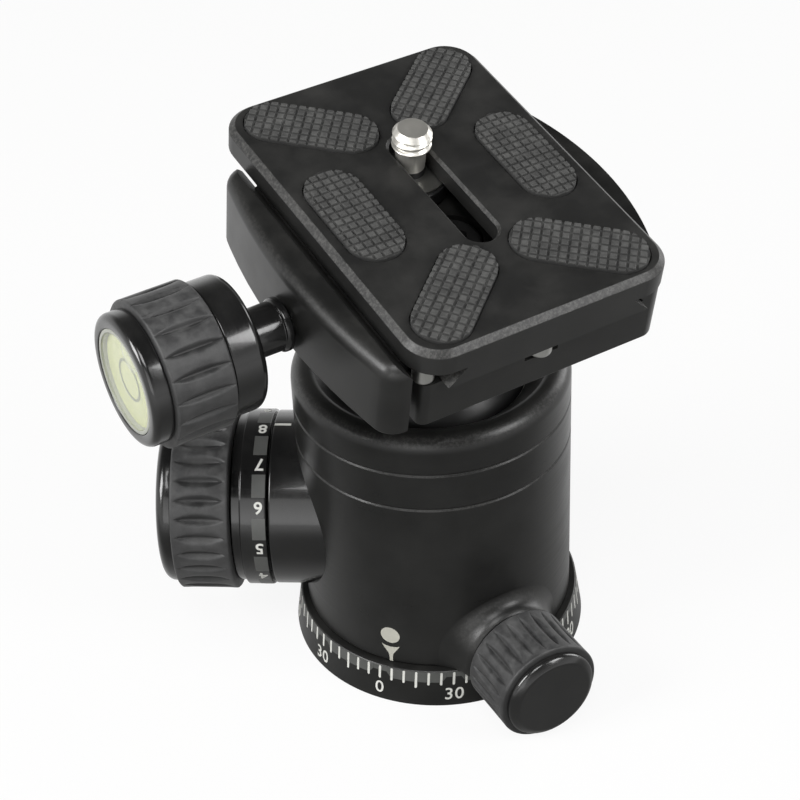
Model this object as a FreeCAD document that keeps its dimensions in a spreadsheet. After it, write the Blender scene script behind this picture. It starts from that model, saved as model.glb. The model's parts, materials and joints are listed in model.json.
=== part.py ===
import FreeCAD, Part
import math
import os
import Sketcher

# Tripod ball head with a panning base, a lever-free screw clamp and a quick release plate.
# Frame: millimetres, origin at the centre of the base's underside, Z up.
# The ball leans as photographed: the upper frame (u, v, n) starts at the ball's centre, u runs along
# the clamp knob's axis away from the knob, v along the plate and n along the stem.
# A knob's frame has x sideways, y up and z outwards along the knob's axis, from the housing's axis.

SIZES = [
    ("ball_radius", 17.5, "ball"),
    ("ball_height", 44.87, "ball centre above the base's underside"),
    ("lean_angle", 11.35, "lean of the stem at rest, degrees"),
    ("socket_gap", 0.3, "gap between the ball and its seats"),
    ("running_gap", 0.3, "gap between turning parts"),
    ("wall_hole_start", 10.0, "inner end of the cuts through the housing's wall"),
    ("bearing_gap", 0.05, "gap of a shaft in its bore and of a washer on its face"),
    ("base_foot_radius", 25.8, "tick band at the bottom"),
    ("base_top_radius", 24.7, "tick band at the top"),
    ("base_height", 7.2, "height of the tick band"),
    ("small_chamfer", 0.4, "broken edges"),
    ("hub_clearance", 0.4, "gap between the pan hub and the housing's bore"),
    ("hub_height", 12.4, "top of the pan hub"),
    ("brake_groove_depth", 0.5, "depth of the pan brake's groove"),
    ("brake_groove_width", 4.0, "width of the pan brake's groove"),
    ("flange_radius", 11.0, "spindle's bottom flange"),
    ("flange_thickness", 2.7, "spindle's bottom flange"),
    ("spindle_radius", 7.5, "spindle in the base"),
    ("post_radius", 6.0, "spindle above the hub"),
    ("tripod_hole_radius", 3.97, "three eighths inch thread's wall"),
    ("tripod_hole_depth", 11.0, "three eighths inch thread"),
    ("bearing_radius", 16.0, "pan bearing washer"),
    ("bearing_thickness", 0.45, "pan bearing washer"),
    ("floor_thickness", 4.0, "housing floor"),
    ("thrust_washer_radius", 9.3, "thrust washer"),
    ("thrust_washer_thickness", 0.5, "thrust washer"),
    ("nut_radius", 9.3, "spindle nut"),
    ("nut_thickness", 2.9, "spindle nut"),
    ("housing_radius", 23.5, "housing outside"),
    ("housing_bore", 19.2, "housing inside"),
    ("rim_rise", 11.53, "top of the rim above the ball's centre"),
    ("rim_radius", 20.1, "rim opening at the top"),
    ("lip_clearance", 0.35, "gap between the ball and the lip's underside"),
    ("lip_rise", 7.83, "lip's underside above the ball's centre"),
    ("shoulder_radius", 3.0, "rounding of the housing's shoulder"),
    ("upper_line_height", 49.3, "upper fine line round the housing"),
    ("lower_line_height", 42.2, "lower fine line round the housing"),
    ("line_width", 0.5, "fine line round the housing"),
    ("line_depth", 0.25, "fine line round the housing"),
    ("notch_azimuth", 55.0, "side of the drop notch, degrees"),
    ("notch_width", 16.4, "drop notch"),
    ("notch_start", 12.0, "drop notch's inner end from the housing's axis"),
    ("seat_ring_clearance", 0.1, "upper seat ring in the housing's bore"),
    ("seat_ring_height", 6.2, "upper seat ring"),
    ("cup_clearance", 0.35, "lower cup in the housing's bore"),
    ("cup_top", 34.0, "lower cup's top"),
    ("cup_rim", 1.8, "height of the lower cup's outer wall"),
    ("cup_foot_radius", 12.65, "lower cup's foot outside"),
    ("cup_foot_height", 3.7, "lower cup's foot"),
    ("cup_bore", 9.0, "hole in the lower cup"),
    ("cup_bottom", 22.3, "lower cup's underside"),
    ("spring_ring_inner", 10.0, "spring under the cup"),
    ("spring_ring_outer", 12.4, "spring under the cup"),
    ("wedge_width", 9.0, "brake wedge"),
    ("wedge_top", 28.5, "brake wedge's top"),
    ("wedge_clearance", 2.6, "brake wedge's outer face from the housing's bore"),
    ("main_azimuth", 144.9, "direction of the main knob, degrees"),
    ("main_height", 25.5, "height of the main knob's axis"),
    ("barrel_radius", 15.2, "barrel between the housing and the dial"),
    ("barrel_reach", 4.1, "barrel beyond the housing"),
    ("spigot_radius", 6.95, "barrel's spigot in the housing wall"),
    ("lock_screw_radius", 3.95, "lock screw"),
    ("lock_screw_reach", 15.4, "lock screw beyond the barrel"),
    ("lock_screw_tap", 7.0, "depth of the tapped hole in the lock screw"),
    ("disc_spring_radius", 7.5, "disc springs outside"),
    ("disc_spring_pack", 3.0, "disc springs' stack"),
    ("disc_spring_share", 0.55, "disc spring's thickness as a share of its height"),
    ("dial_radius", 15.4, "friction dial"),
    ("dial_width", 6.1, "friction dial"),
    ("dial_step_radius", 14.7, "friction dial's step by the grip"),
    ("dial_step_share", 0.25, "friction dial's step as a share of its width"),
    ("nose_radius", 7.0, "main knob's nose in the dial"),
    ("main_hub_radius", 13.85, "main knob's hub"),
    ("main_grip_radius", 16.2, "main knob's rubber grip"),
    ("main_grip_width", 10.0, "main knob's rubber grip"),
    ("main_grip_ribs", 30, "main knob's ribs"),
    ("rib_margin", 0.9, "smooth margin beside the knobs' ribs"),
    ("rib_groove_share", 0.28, "radius of a groove between ribs as a share of the ribs' pitch"),
    ("rib_groove_depth", 0.9, "depth of a groove between ribs as a share of its radius"),
    ("main_cap_radius", 15.0, "main knob's cap"),
    ("main_cap_width", 2.7, "main knob's cap"),
    ("main_cap_round", 1.7, "rounding of the main knob's cap"),
    ("knob_screw_radius", 2.0, "screw that holds the main knob"),
    ("knob_screw_length", 6.0, "screw that holds the main knob"),
    ("knob_screw_head", 4.2, "head of the screw that holds the main knob"),
    ("pan_azimuth", -92.5, "direction of the pan knob, degrees"),
    ("pan_height", 9.7, "height of the pan knob's axis"),
    ("boss_radius", 8.7, "pan boss at its end"),
    ("boss_root_radius", 11.0, "pan boss at the housing"),
    ("boss_reach", 2.5, "pan boss beyond the housing"),
    ("pan_screw_radius", 1.75, "pan lock screw"),
    ("pan_plug_length", 2.6, "pan brake plug"),
    ("pan_plug_travel", 0.45, "pan brake plug's gap to the groove's floor"),
    ("collar_radius", 6.0, "bright collar on the pan boss"),
    ("collar_thickness", 0.3, "bright collar on the pan boss"),
    ("pan_hub_radius", 7.2, "pan knob's hub"),
    ("pan_grip_radius", 9.2, "pan knob's rubber grip"),
    ("pan_grip_width", 10.6, "pan knob's rubber grip"),
    ("pan_grip_ribs", 24, "pan knob's ribs"),
    ("pan_cap_radius", 8.2, "pan knob's cap"),
    ("pan_cap_width", 1.8, "pan knob's cap"),
    ("pan_cap_lean", 1.4, "pan knob's bevel, across over along"),
    ("neck_radius", 7.6, "stem's neck"),
    ("stem_flange_radius", 11.0, "stem's flange under the clamp"),
    ("stem_flange_bottom", 27.0, "stem's flange above the ball's centre"),
    ("stem_flange_thickness", 3.4, "stem's flange"),
    ("clamp_washer_thickness", 0.4, "washer under the clamp"),
    ("clamp_bolt_radius", 3.0, "clamp bolt"),
    ("clamp_bolt_head", 4.8, "clamp bolt's head"),
    ("clamp_bolt_seat", 34.0, "clamp bolt's head from the ball's centre"),
    ("clamp_bolt_depth", 12.0, "clamp bolt in the stem"),
    ("socket_share", 0.6, "a screw's socket as a share of the screw"),
    ("clamp_half_length", 25.7, "half the clamp's length"),
    ("clamp_bottom", 31.0, "clamp's underside"),
    ("deck_clearance", 0.15, "gap between the clamp's top face and the plate"),
    ("clamp_left", -21.2, "clamp body's face towards the jaw"),
    ("clamp_right", 28.6, "clamp body's far side"),
    ("clamp_side_bend", 50.0, "bend radius of the clamp body's far side"),
    ("clamp_corner", 3.0, "clamp body's corner rounding"),
    ("jaw_gap", 2.0, "gap between the jaw and the clamp body"),
    ("jaw_thickness", 6.7, "jaw at its middle"),
    ("jaw_bend", 105.0, "bend radius of the jaw's outer face"),
    ("jaw_corner", 2.6, "jaw's corner rounding"),
    ("jaw_top", 44.7, "jaw's top"),
    ("jaw_top_round", 2.0, "rounding of the jaw's top"),
    ("jaw_land", 2.2, "jaw's flat top measured from its inner face"),
    ("hook_half_length", 21.5, "half the length of the jaw's hook"),
    ("guide_pin_radius", 1.5, "guide pins"),
    ("guide_pin_spacing", 28.0, "guide pins"),
    ("guide_pin_reach", 11.7, "guide pins inside the clamp body"),
    ("clamp_spring_radius", 2.4, "springs on the guide pins"),
    ("clamp_spring_wire", 0.5, "springs on the guide pins"),
    ("spring_pocket_radius", 2.9, "pockets for the springs"),
    ("spring_pocket_depth", 4.2, "pockets for the springs"),
    ("clamp_axis", 34.5, "clamp knob's axis above the ball's centre"),
    ("lead_screw_radius", 2.5, "clamp's lead screw"),
    ("lead_screw_reach", 13.2, "lead screw inside the clamp body"),
    ("clip_radius", 4.2, "clip on the lead screw"),
    ("clip_thickness", 0.6, "clip on the lead screw"),
    ("clip_groove_share", 0.8, "clip's groove as a share of the lead screw"),
    ("clip_mouth_share", 0.7, "clip's mouth as a share of the lead screw"),
    ("knob_shaft_radius", 4.0, "clamp knob's shaft"),
    ("knob_shaft_length", 8.1, "clamp knob's collar from the jaw"),
    ("knob_collar_width", 5.6, "clamp knob's collar"),
    ("knob_collar_radius", 10.8, "clamp knob's collar"),
    ("knob_collar_round", 1.4, "rounding of the clamp knob's collar"),
    ("knob_hub_radius", 9.6, "clamp knob's hub under the grip"),
    ("knob_grip_radius", 11.7, "clamp knob's rubber grip"),
    ("knob_grip_width", 9.8, "clamp knob's rubber grip"),
    ("knob_grip_ribs", 20, "clamp knob's ribs"),
    ("knob_cap_radius", 10.5, "clamp knob's cap"),
    ("knob_cap_width", 3.2, "clamp knob's cap"),
    ("knob_cap_round", 1.1, "rounding of the clamp knob's cap"),
    ("vial_radius", 8.3, "bubble level's cup"),
    ("vial_wall", 0.6, "bubble level's cup"),
    ("vial_depth", 6.5, "bubble level's cup"),
    ("lens_thickness", 1.0, "bubble level's lens"),
    ("bubble_radius", 2.6, "bubble"),
    ("bubble_flat", 0.95, "bubble's flat against the lens as a share of its radius"),
    ("plate_width", 45.9, "plate across the clamp"),
    ("plate_length", 62.9, "plate along the clamp"),
    ("plate_shift", 3.825, "plate's centre from the stem along the clamp"),
    ("plate_bottom", 39.7, "dovetail's underside above the ball's centre"),
    ("dovetail_height", 3.0, "dovetail"),
    ("dovetail_half_width", 18.0, "half the dovetail's width at its underside"),
    ("plate_thickness", 4.3, "plate above the dovetail"),
    ("plate_corner", 6.0, "plate's corner rounding"),
    ("plate_chamfer", 1.0, "plate's top edge"),
    ("slot_width", 5.5, "camera screw's slot"),
    ("slot_length", 27.0, "camera screw's slot"),
    ("slot_chamfer", 0.5, "slot's top edge"),
    ("recess_width", 14.0, "recess for the camera screw's head"),
    ("recess_length", 37.0, "recess for the camera screw's head"),
    ("recess_depth", 3.9, "recess for the camera screw's head"),
    ("rubber_width", 9.2, "rubber pads"),
    ("rubber_length", 21.5, "side pads"),
    ("rubber_sunk", 0.8, "rubber pads' depth in the plate"),
    ("rubber_proud", 0.6, "rubber pads above the plate"),
    ("side_rubber_inset", 7.25, "side pads' middle from the plate's edge"),
    ("side_rubber_shift", 0.4, "side pads' shift along the plate"),
    ("corner_rubber_edge", 2.439, "corner pads to the plate's edge"),
    ("corner_rubber_middle", 1.889, "corner pads to the plate's middle line"),
    ("corner_rubber_end_inset", 10.25, "corner pads' middle from the plate's end"),
    ("corner_rubber_turn", 40.0, "corner pads' turn, degrees"),
    ("end_stop_inset", 2.625, "end stop screws from the plate's end"),
    ("end_stop_radius", 1.95, "end stop screws' heads"),
    ("end_stop_height", 2.8, "end stop screws' heads"),
    ("side_stop_gap", 2.2, "side stop screws beyond the dovetail's foot"),
    ("side_stop_end_inset", 3.725, "side stop screws from the plate's end"),
    ("side_stop_radius", 1.75, "side stop screws' heads"),
    ("stop_shank_radius", 1.0, "stop screws' shanks"),
    ("stop_shank_length", 2.0, "stop screws' shanks"),
    ("notch_in_deck_width", 6.0, "clamp's end notch for the stop screw"),
    ("notch_in_deck_depth", 3.0, "clamp's end notch for the stop screw"),
    ("notch_in_deck_floor", 36.5, "floor of the clamp's end notch"),
    ("camera_screw_place", 9.4, "camera screw from the plate's centre"),
    ("camera_neck_radius", 2.45, "camera screw's neck"),
    ("camera_thread_radius", 3.175, "quarter inch camera thread"),
    ("camera_thread_low", 1.3, "camera thread's lower end above the plate"),
    ("camera_thread_high", 4.7, "camera thread's tip above the plate"),
    ("camera_thread_chamfer", 1.0, "camera thread's tip"),
    ("camera_head_radius", 6.4, "camera screw's head"),
    ("camera_head_height", 2.8, "camera screw's head"),
    ("coin_slot_width", 1.4, "slot in the camera screw's head"),
    ("coin_slot_depth", 1.3, "slot in the camera screw's head"),
    ("screw_clip_radius", 6.0, "sliding washer under the plate"),
    ("screw_clip_thickness", 0.5, "sliding washer under the plate"),
]

SIGNS = {
    "+": lambda a, b: a + b,
    "-": lambda a, b: a - b,
    "*": lambda a, b: a * b,
    "/": lambda a, b: a / b,
}


class Size:
    """A size that carries its number and its expression in the sheet."""

    def __init__(self, number, text):
        self.number = number
        self.text = text

    def __add__(self, other):
        return joined_size(self, other, "+")

    def __radd__(self, other):
        return joined_size(other, self, "+")

    def __sub__(self, other):
        return joined_size(self, other, "-")

    def __rsub__(self, other):
        return joined_size(other, self, "-")

    def __mul__(self, other):
        return joined_size(self, other, "*")

    def __rmul__(self, other):
        return joined_size(other, self, "*")

    def __truediv__(self, other):
        return joined_size(self, other, "/")

    def __neg__(self):
        return joined_size(0, self, "-")


def as_size(value):
    """Return a plain number as a size without a cell."""
    if isinstance(value, Size):
        return value
    return Size(float(value), repr(float(value)))


def joined_size(first, second, sign):
    """Join two sizes by one of the four signs, as a number and as an expression."""
    first = as_size(first)
    second = as_size(second)
    number = SIGNS[sign](first.number, second.number)
    return Size(number, "(%s %s %s)" % (first.text, sign, second.text))


def other_side(longest, side):
    """The third side of a right-angled triangle: how far a round edge lies at a side step."""
    longest = as_size(longest)
    side = as_size(side)
    number = math.sqrt(longest.number ** 2 - side.number ** 2)
    return Size(number, "sqrt((%s)^2 - (%s)^2)" % (longest.text, side.text))


def level_share(turn):
    """How much of a length turned by an angle in degrees lies along its first direction."""
    return Size(math.cos(math.radians(turn.number)), "cos(%s)" % turn.text)


class Table:
    """The sheet's cells, read by name."""


document = FreeCAD.newDocument("BallHead")
sheet = document.addObject("Spreadsheet::Sheet", "Sizes")
d = Table()
for row, (alias, number, note) in enumerate(SIZES, start=1):
    sheet.set("A%d" % row, alias)
    sheet.set("B%d" % row, repr(number))
    sheet.set("C%d" % row, note)
    sheet.setAlias("B%d" % row, alias)
    setattr(d, alias, Size(number, "Sizes." + alias))
document.recompute()

d.hub_radius = d.housing_bore - d.hub_clearance
d.seat_ring_radius = d.housing_bore - d.seat_ring_clearance
d.cup_radius = d.housing_bore - d.cup_clearance
d.wedge_reach = d.housing_bore - d.wedge_clearance
d.lip_height = d.ball_height + d.lip_rise
d.lip_radius = other_side(d.ball_radius, d.lip_rise) + d.lip_clearance
d.housing_top = d.ball_height + d.rim_rise
d.barrel_end = d.housing_radius + d.barrel_reach
d.lock_screw_end = d.barrel_end + d.lock_screw_reach
d.boss_end = d.housing_radius + d.boss_reach
d.clamp_deck = d.plate_bottom - d.deck_clearance
d.jaw_outside = d.clamp_left - d.jaw_gap - d.jaw_thickness
d.guide_pin_end = d.clamp_left + d.guide_pin_reach
d.lead_screw_end = -d.clamp_left - d.lead_screw_reach
d.knob_collar_start = -d.jaw_outside + d.knob_shaft_length
d.side_rubber_place = d.plate_width / 2 - d.side_rubber_inset
d.corner_rubber_reach = d.plate_width / 2 - d.corner_rubber_edge - d.corner_rubber_middle
d.corner_rubber_across = d.corner_rubber_middle + d.corner_rubber_reach / 2
d.corner_rubber_run = (d.corner_rubber_reach - d.rubber_width) / level_share(d.corner_rubber_turn)
d.corner_rubber_length = d.corner_rubber_run + d.rubber_width
d.corner_rubber_along = d.plate_length / 2 - d.corner_rubber_end_inset
d.end_stop_place = d.plate_length / 2 - d.end_stop_inset
d.side_stop_across = d.dovetail_half_width + d.side_stop_gap
d.side_stop_along = d.plate_length / 2 - d.side_stop_end_inset
d.plate_top = d.plate_bottom + d.dovetail_height + d.plate_thickness
d.camera_thread_start = d.plate_top + d.camera_thread_low
d.camera_thread_end = d.plate_top + d.camera_thread_high

ORIGIN = FreeCAD.Vector(0, 0, 0)
ALONG_X = FreeCAD.Vector(1, 0, 0)
ALONG_Y = FreeCAD.Vector(0, 1, 0)
ALONG_Z = FreeCAD.Vector(0, 0, 1)
NO_TURN = FreeCAD.Rotation()
MARGIN = 2.0
DIAGONAL = 1.4143
DISC_SPRINGS = 4
NEAR = 0.001
pieces = []


def outward(azimuth, height):
    """The frame of a knob that points outwards at an azimuth and height."""
    turn = FreeCAD.Rotation(ALONG_Z, azimuth + 90) * FreeCAD.Rotation(ALONG_X, 90)
    return FreeCAD.Placement(FreeCAD.Vector(0, 0, height), turn)


def moved(x=0, y=0, z=0, turn=0):
    """A shift with a turn about Z."""
    place = [as_size(value).number for value in (x, y, z)]
    return FreeCAD.Placement(FreeCAD.Vector(*place), FreeCAD.Rotation(ALONG_Z, as_size(turn).number))


UPRIGHT = FreeCAD.Placement()
UPPER = FreeCAD.Placement(
    FreeCAD.Vector(0, 0, d.ball_height.number), FreeCAD.Rotation(ALONG_X, d.lean_angle.number)
)
MAIN_FRAME = outward(d.main_azimuth.number, d.main_height.number)
PAN_FRAME = outward(d.pan_azimuth.number, d.pan_height.number)
NOTCH_FRAME = outward(d.notch_azimuth.number, d.ball_height.number)
KNOB_FRAME = UPPER * outward(180, d.clamp_axis.number)
PLATE_FRAME = UPPER * moved(y=d.plate_shift)


def bind(item, where, value):
    """Bind a property to the sheet."""
    item.setExpression(where, as_size(value).text)


def body_plane(body, role):
    """An origin plane of a body."""
    return [item for item in body.Origin.OriginFeatures if item.Role == role][0]


def sketch_on(body, role, name, height=None):
    """An empty sketch on an origin plane, raised by a height."""
    sketch = body.newObject("Sketcher::SketchObject", name)
    sketch.AttachmentSupport = [(body_plane(body, role), "")]
    sketch.MapMode = "FlatFace"
    if height is not None:
        bind(sketch, "AttachmentOffset.Base.z", height)
    return sketch


def hold(sketch, kind, index, point, value):
    """Hold a point's distance from the sketch's origin at a size."""
    value = as_size(value)
    added = sketch.addConstraint(Sketcher.Constraint(kind, -1, 1, index, point, value.number))
    sketch.setExpression("Constraints[%d]" % added, value.text)


def draw(sketch, outline):
    """Draw a closed outline of straight lines through points given as sizes."""
    corners = [FreeCAD.Vector(as_size(x).number, as_size(y).number, 0) for x, y in outline]
    count = len(corners)
    for index in range(count):
        sketch.addGeometry(Part.LineSegment(corners[index], corners[(index + 1) % count]), False)
    for index in range(count):
        sketch.addConstraint(Sketcher.Constraint("Coincident", index, 2, (index + 1) % count, 1))
    for index, (x, y) in enumerate(outline):
        hold(sketch, "DistanceX", index, 1, x)
        hold(sketch, "DistanceY", index, 1, y)


def turned(name, outline):
    """A body turned about Z from an outline of radii and heights."""
    body = document.addObject("PartDesign::Body", name)
    sketch = sketch_on(body, "XZ_Plane", name + "_outline")
    draw(sketch, outline)
    turn = body.newObject("PartDesign::Revolution", name + "_turn")
    turn.Profile = sketch
    turn.ReferenceAxis = (sketch, ["V_Axis"])
    turn.Angle = 360
    return body


def ring(name, inner, outer, low, high):
    """A plain turned ring."""
    return turned(name, [(inner, low), (outer, low), (outer, high), (inner, high)])


def disc(name, radius, low, high):
    """A plain turned disc."""
    return turned(name, [(0, low), (radius, low), (radius, high), (0, high)])


def bar(name, outline, half_length):
    """A body drawn in x and z and drawn out both ways along y."""
    body = document.addObject("PartDesign::Body", name)
    sketch = sketch_on(body, "XZ_Plane", name + "_outline")
    draw(sketch, outline)
    pad = body.newObject("PartDesign::Pad", name + "_pad")
    pad.Profile = sketch
    pad.Midplane = True
    bind(pad, "Length", half_length * 2)
    return body


def slab(name, half_x, half_y, low, high):
    """A body drawn as a rectangle about the origin, from one height to another."""
    body = document.addObject("PartDesign::Body", name)
    sketch = sketch_on(body, "XY_Plane", name + "_outline", low)
    draw(sketch, [(-half_x, -half_y), (half_x, -half_y), (half_x, half_y), (-half_x, half_y)])
    pad = body.newObject("PartDesign::Pad", name + "_pad")
    pad.Profile = sketch
    bind(pad, "Length", high - low)
    return body


def soften(body, kind, amount, chosen):
    """Round or chamfer the chosen edges of a body."""
    document.recompute()
    base = body.Tip
    names = ["Edge%d" % (index + 1) for index, edge in enumerate(base.Shape.Edges) if chosen(edge)]
    feature = body.newObject("PartDesign::" + kind, base.Name + "_" + kind.lower())
    feature.Base = (base, names)
    bind(feature, "Radius" if kind == "Fillet" else "Size", amount)
    document.recompute()
    return body


def round_solid(name, solid, amount, chosen, kind="Part::Fillet"):
    """Round or chamfer the chosen edges of a joined or cut solid."""
    document.recompute()
    width = amount.number
    edges = [(index + 1, width, width) for index, edge in enumerate(solid.Shape.Edges) if chosen(edge)]
    rounded = document.addObject(kind, name)
    rounded.Base = solid
    rounded.Edges = edges
    return rounded


def block(name, x, y, z):
    """A box between a low and a high size each way."""
    box = document.addObject("Part::Box", name)
    for side, (low, high) in zip(("Length", "Width", "Height"), (x, y, z)):
        bind(box, side, as_size(high) - low)
    for axis, (low, high) in zip("xyz", (x, y, z)):
        bind(box, "Placement.Base." + axis, low)
    return box


def rod(name, radius, low, high, x=0, y=0):
    """A cylinder along Z."""
    cylinder = document.addObject("Part::Cylinder", name)
    bind(cylinder, "Radius", radius)
    bind(cylinder, "Height", as_size(high) - low)
    bind(cylinder, "Placement.Base.x", x)
    bind(cylinder, "Placement.Base.y", y)
    bind(cylinder, "Placement.Base.z", low)
    return cylinder


def cross_rod(name, radius, low, high, y=0, z=0):
    """A cylinder along X."""
    cylinder = document.addObject("Part::Cylinder", name)
    cylinder.Placement = FreeCAD.Placement(ORIGIN, FreeCAD.Rotation(ALONG_Y, 90))
    bind(cylinder, "Radius", radius)
    bind(cylinder, "Height", as_size(high) - low)
    bind(cylinder, "Placement.Base.x", low)
    bind(cylinder, "Placement.Base.y", y)
    bind(cylinder, "Placement.Base.z", z)
    return cylinder


def rod_in(frame, name, radius, low, high, top_radius=None):
    """A cylinder or cone along Z of a knob's frame."""
    solid = document.addObject("Part::Cone" if top_radius else "Part::Cylinder", name)
    bind(solid, "Radius1" if top_radius else "Radius", radius)
    if top_radius:
        bind(solid, "Radius2", top_radius)
    bind(solid, "Height", as_size(high) - low)
    solid.Placement = frame * moved(z=low)
    return solid


def ball(name, radius, z=0):
    """A sphere on the Z axis."""
    sphere = document.addObject("Part::Sphere", name)
    bind(sphere, "Radius", radius)
    bind(sphere, "Placement.Base.z", z)
    return sphere


def joined(name, *solids):
    """Several solids made one, or a group of separate solids."""
    whole = document.addObject("Part::MultiFuse", name)
    whole.Shapes = list(solids)
    whole.Refine = True
    return whole


def cut(name, solid, *tools):
    """A solid with the tools' shapes cut away."""
    rest = document.addObject("Part::Cut", name)
    rest.Base = solid
    rest.Tool = tools[0] if len(tools) == 1 else joined(name + "_cutters", *tools)
    rest.Refine = True
    return rest


def shared(name, first, second):
    """What two solids have in common."""
    both = document.addObject("Part::Common", name)
    both.Base = first
    both.Tool = second
    both.Refine = True
    return both


def stadium(name, length, width, low, high, along="y"):
    """A straight slot shape with round ends, about the origin."""
    half = width / 2
    run = length / 2 - half
    if along == "y":
        middle = block(name + "_middle", (-half, half), (-run, run), (low, high))
        ends = [rod(name + "_end%d" % side, half, low, high, y=side * run) for side in (-1, 1)]
    else:
        middle = block(name + "_middle", (-run, run), (-half, half), (low, high))
        ends = [rod(name + "_end%d" % side, half, low, high, x=side * run) for side in (-1, 1)]
    return joined(name, middle, *ends)


def keep(label, solid, frame=UPRIGHT):
    """Give a sub-part its name and its place."""
    solid.Label = label
    solid.Placement = frame
    pieces.append(solid)
    return solid


def ribbed(name, inner, outer, low, high, count, margin):
    """A rubber grip: a ring with grooves between its ribs, which stop short of its ends."""
    body = ring(name, inner, outer, low, high)
    pitch = outer * (2 * math.pi) / count
    groove = pitch * d.rib_groove_share
    depth = groove * d.rib_groove_depth
    sketch = sketch_on(body, "XY_Plane", name + "_groove", high - margin)
    centre = outer + groove - depth
    circle = Part.Circle(FreeCAD.Vector(centre.number, 0, 0), ALONG_Z, groove.number)
    index = sketch.addGeometry(circle, False)
    hold(sketch, "DistanceX", index, 3, centre)
    hold(sketch, "DistanceY", index, 3, 0)
    added = sketch.addConstraint(Sketcher.Constraint("Radius", index, groove.number))
    sketch.setExpression("Constraints[%d]" % added, groove.text)
    pocket = body.newObject("PartDesign::Pocket", name + "_pocket")
    pocket.Profile = sketch
    bind(pocket, "Length", high - low - margin * 2)
    document.recompute()
    pattern = body.newObject("PartDesign::PolarPattern", name + "_ribs")
    pattern.Originals = [pocket]
    pattern.Axis = (sketch, ["N_Axis"])
    pattern.Angle = 360
    bind(pattern, "Occurrences", count)
    body.Tip = pattern
    return body


def at_height(z):
    """Choose the edges that lie at a height."""
    return lambda edge: abs(edge.BoundBox.ZMin - z.number) < NEAR and edge.BoundBox.ZLength < NEAR


def at_ring(radius, z):
    """Choose the round edge of a radius at a height."""
    def chosen(edge):
        round_edge = abs(edge.BoundBox.XMax - radius.number) < NEAR
        return round_edge and abs(edge.CenterOfMass.z - z.number) < NEAR and edge.BoundBox.ZLength < NEAR
    return chosen


def upright_edge(edge):
    """Choose a straight edge along Z."""
    return edge.BoundBox.XLength < NEAR and edge.BoundBox.YLength < NEAR


def pan_base():
    """The footed disc with the pan scale's band, and the hub that the housing turns round."""
    chamfer = d.small_chamfer
    groove_low = d.pan_height - d.brake_groove_width / 2
    groove_high = d.pan_height + d.brake_groove_width / 2
    groove_radius = d.hub_radius - d.brake_groove_depth
    bore = d.spindle_radius + d.bearing_gap
    recess = d.flange_radius + d.bearing_gap
    recess_roof = d.flange_thickness + d.bearing_gap
    return turned("pan_base", [
        (recess, 0),
        (d.base_foot_radius - chamfer, 0),
        (d.base_foot_radius, chamfer),
        (d.base_top_radius, d.base_height - chamfer),
        (d.base_top_radius - chamfer, d.base_height),
        (d.hub_radius, d.base_height),
        (d.hub_radius, groove_low),
        (groove_radius, groove_low),
        (groove_radius, groove_high),
        (d.hub_radius, groove_high),
        (d.hub_radius, d.hub_height),
        (bore, d.hub_height),
        (bore, recess_roof),
        (recess, recess_roof),
    ])


def pan_spindle():
    """The steel spindle: flange, body with the tripod thread, and the post that carries the nut."""
    flange_top = d.flange_thickness
    hole_top = d.tripod_hole_depth
    tip = hole_top + d.tripod_hole_radius / 4
    return turned("pan_spindle", [
        (d.tripod_hole_radius, 0),
        (d.flange_radius, 0),
        (d.flange_radius, flange_top),
        (d.spindle_radius, flange_top),
        (d.spindle_radius, d.hub_height),
        (d.post_radius, d.hub_height),
        (d.post_radius, nut_bottom() + d.nut_thickness - d.small_chamfer),
        (d.post_radius - d.small_chamfer, nut_bottom() + d.nut_thickness),
        (0, nut_bottom() + d.nut_thickness),
        (0, tip),
        (d.tripod_hole_radius, hole_top),
    ])


def floor_bottom():
    """The housing floor's underside, above the hub and the bearing washer."""
    return d.hub_height + d.bearing_thickness + d.bearing_gap * 2


def floor_top():
    """The housing floor's top."""
    return floor_bottom() + d.floor_thickness


def nut_bottom():
    """The spindle nut's underside, above the thrust washer."""
    return floor_top() + d.thrust_washer_thickness + d.bearing_gap * 2


def housing():
    """The round shell: bore, lip that holds the ball down, fine lines, pan boss and drop notch."""
    half_line = d.line_width / 2
    outline = [
        (d.housing_bore, d.base_height + d.running_gap),
        (d.housing_radius - d.small_chamfer, d.base_height + d.running_gap),
        (d.housing_radius, d.base_height + d.running_gap + d.small_chamfer),
    ]
    for line in (d.lower_line_height, d.upper_line_height):
        outline.append((d.housing_radius, line - half_line))
        outline.append((d.housing_radius - d.line_depth, line))
        outline.append((d.housing_radius, line + half_line))
    outline += [
        (d.housing_radius, d.housing_top),
        (d.rim_radius, d.housing_top),
        (d.lip_radius, d.lip_height),
        (d.housing_bore, d.lip_height),
    ]
    shell = turned("housing_shell", outline)
    soften(shell, "Fillet", d.shoulder_radius, at_ring(d.housing_radius, d.housing_top))
    bottom = d.base_height + d.running_gap
    boss = rod_in(PAN_FRAME, "boss", d.boss_root_radius, d.housing_bore, d.boss_end, d.boss_radius)
    reach = d.housing_radius + d.boss_end
    foot = block("boss_foot", (-reach, reach), (-reach, reach), (-reach, bottom))
    inside = rod("bore", d.housing_bore, 0, d.lip_height)
    trimmed = cut("boss_trimmed", boss, foot, inside)
    with_boss = joined("housing_with_boss", shell, trimmed)
    main_bore = d.spigot_radius + d.bearing_gap
    main_hole = rod_in(MAIN_FRAME, "main_hole", main_bore, d.wall_hole_start, d.barrel_end)
    pan_bore = d.pan_screw_radius + d.bearing_gap
    pan_hole = rod_in(PAN_FRAME, "pan_hole", pan_bore, d.wall_hole_start, d.boss_end + MARGIN)
    return cut("housing", with_boss, main_hole, pan_hole, notch_tool("housing"))


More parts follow.
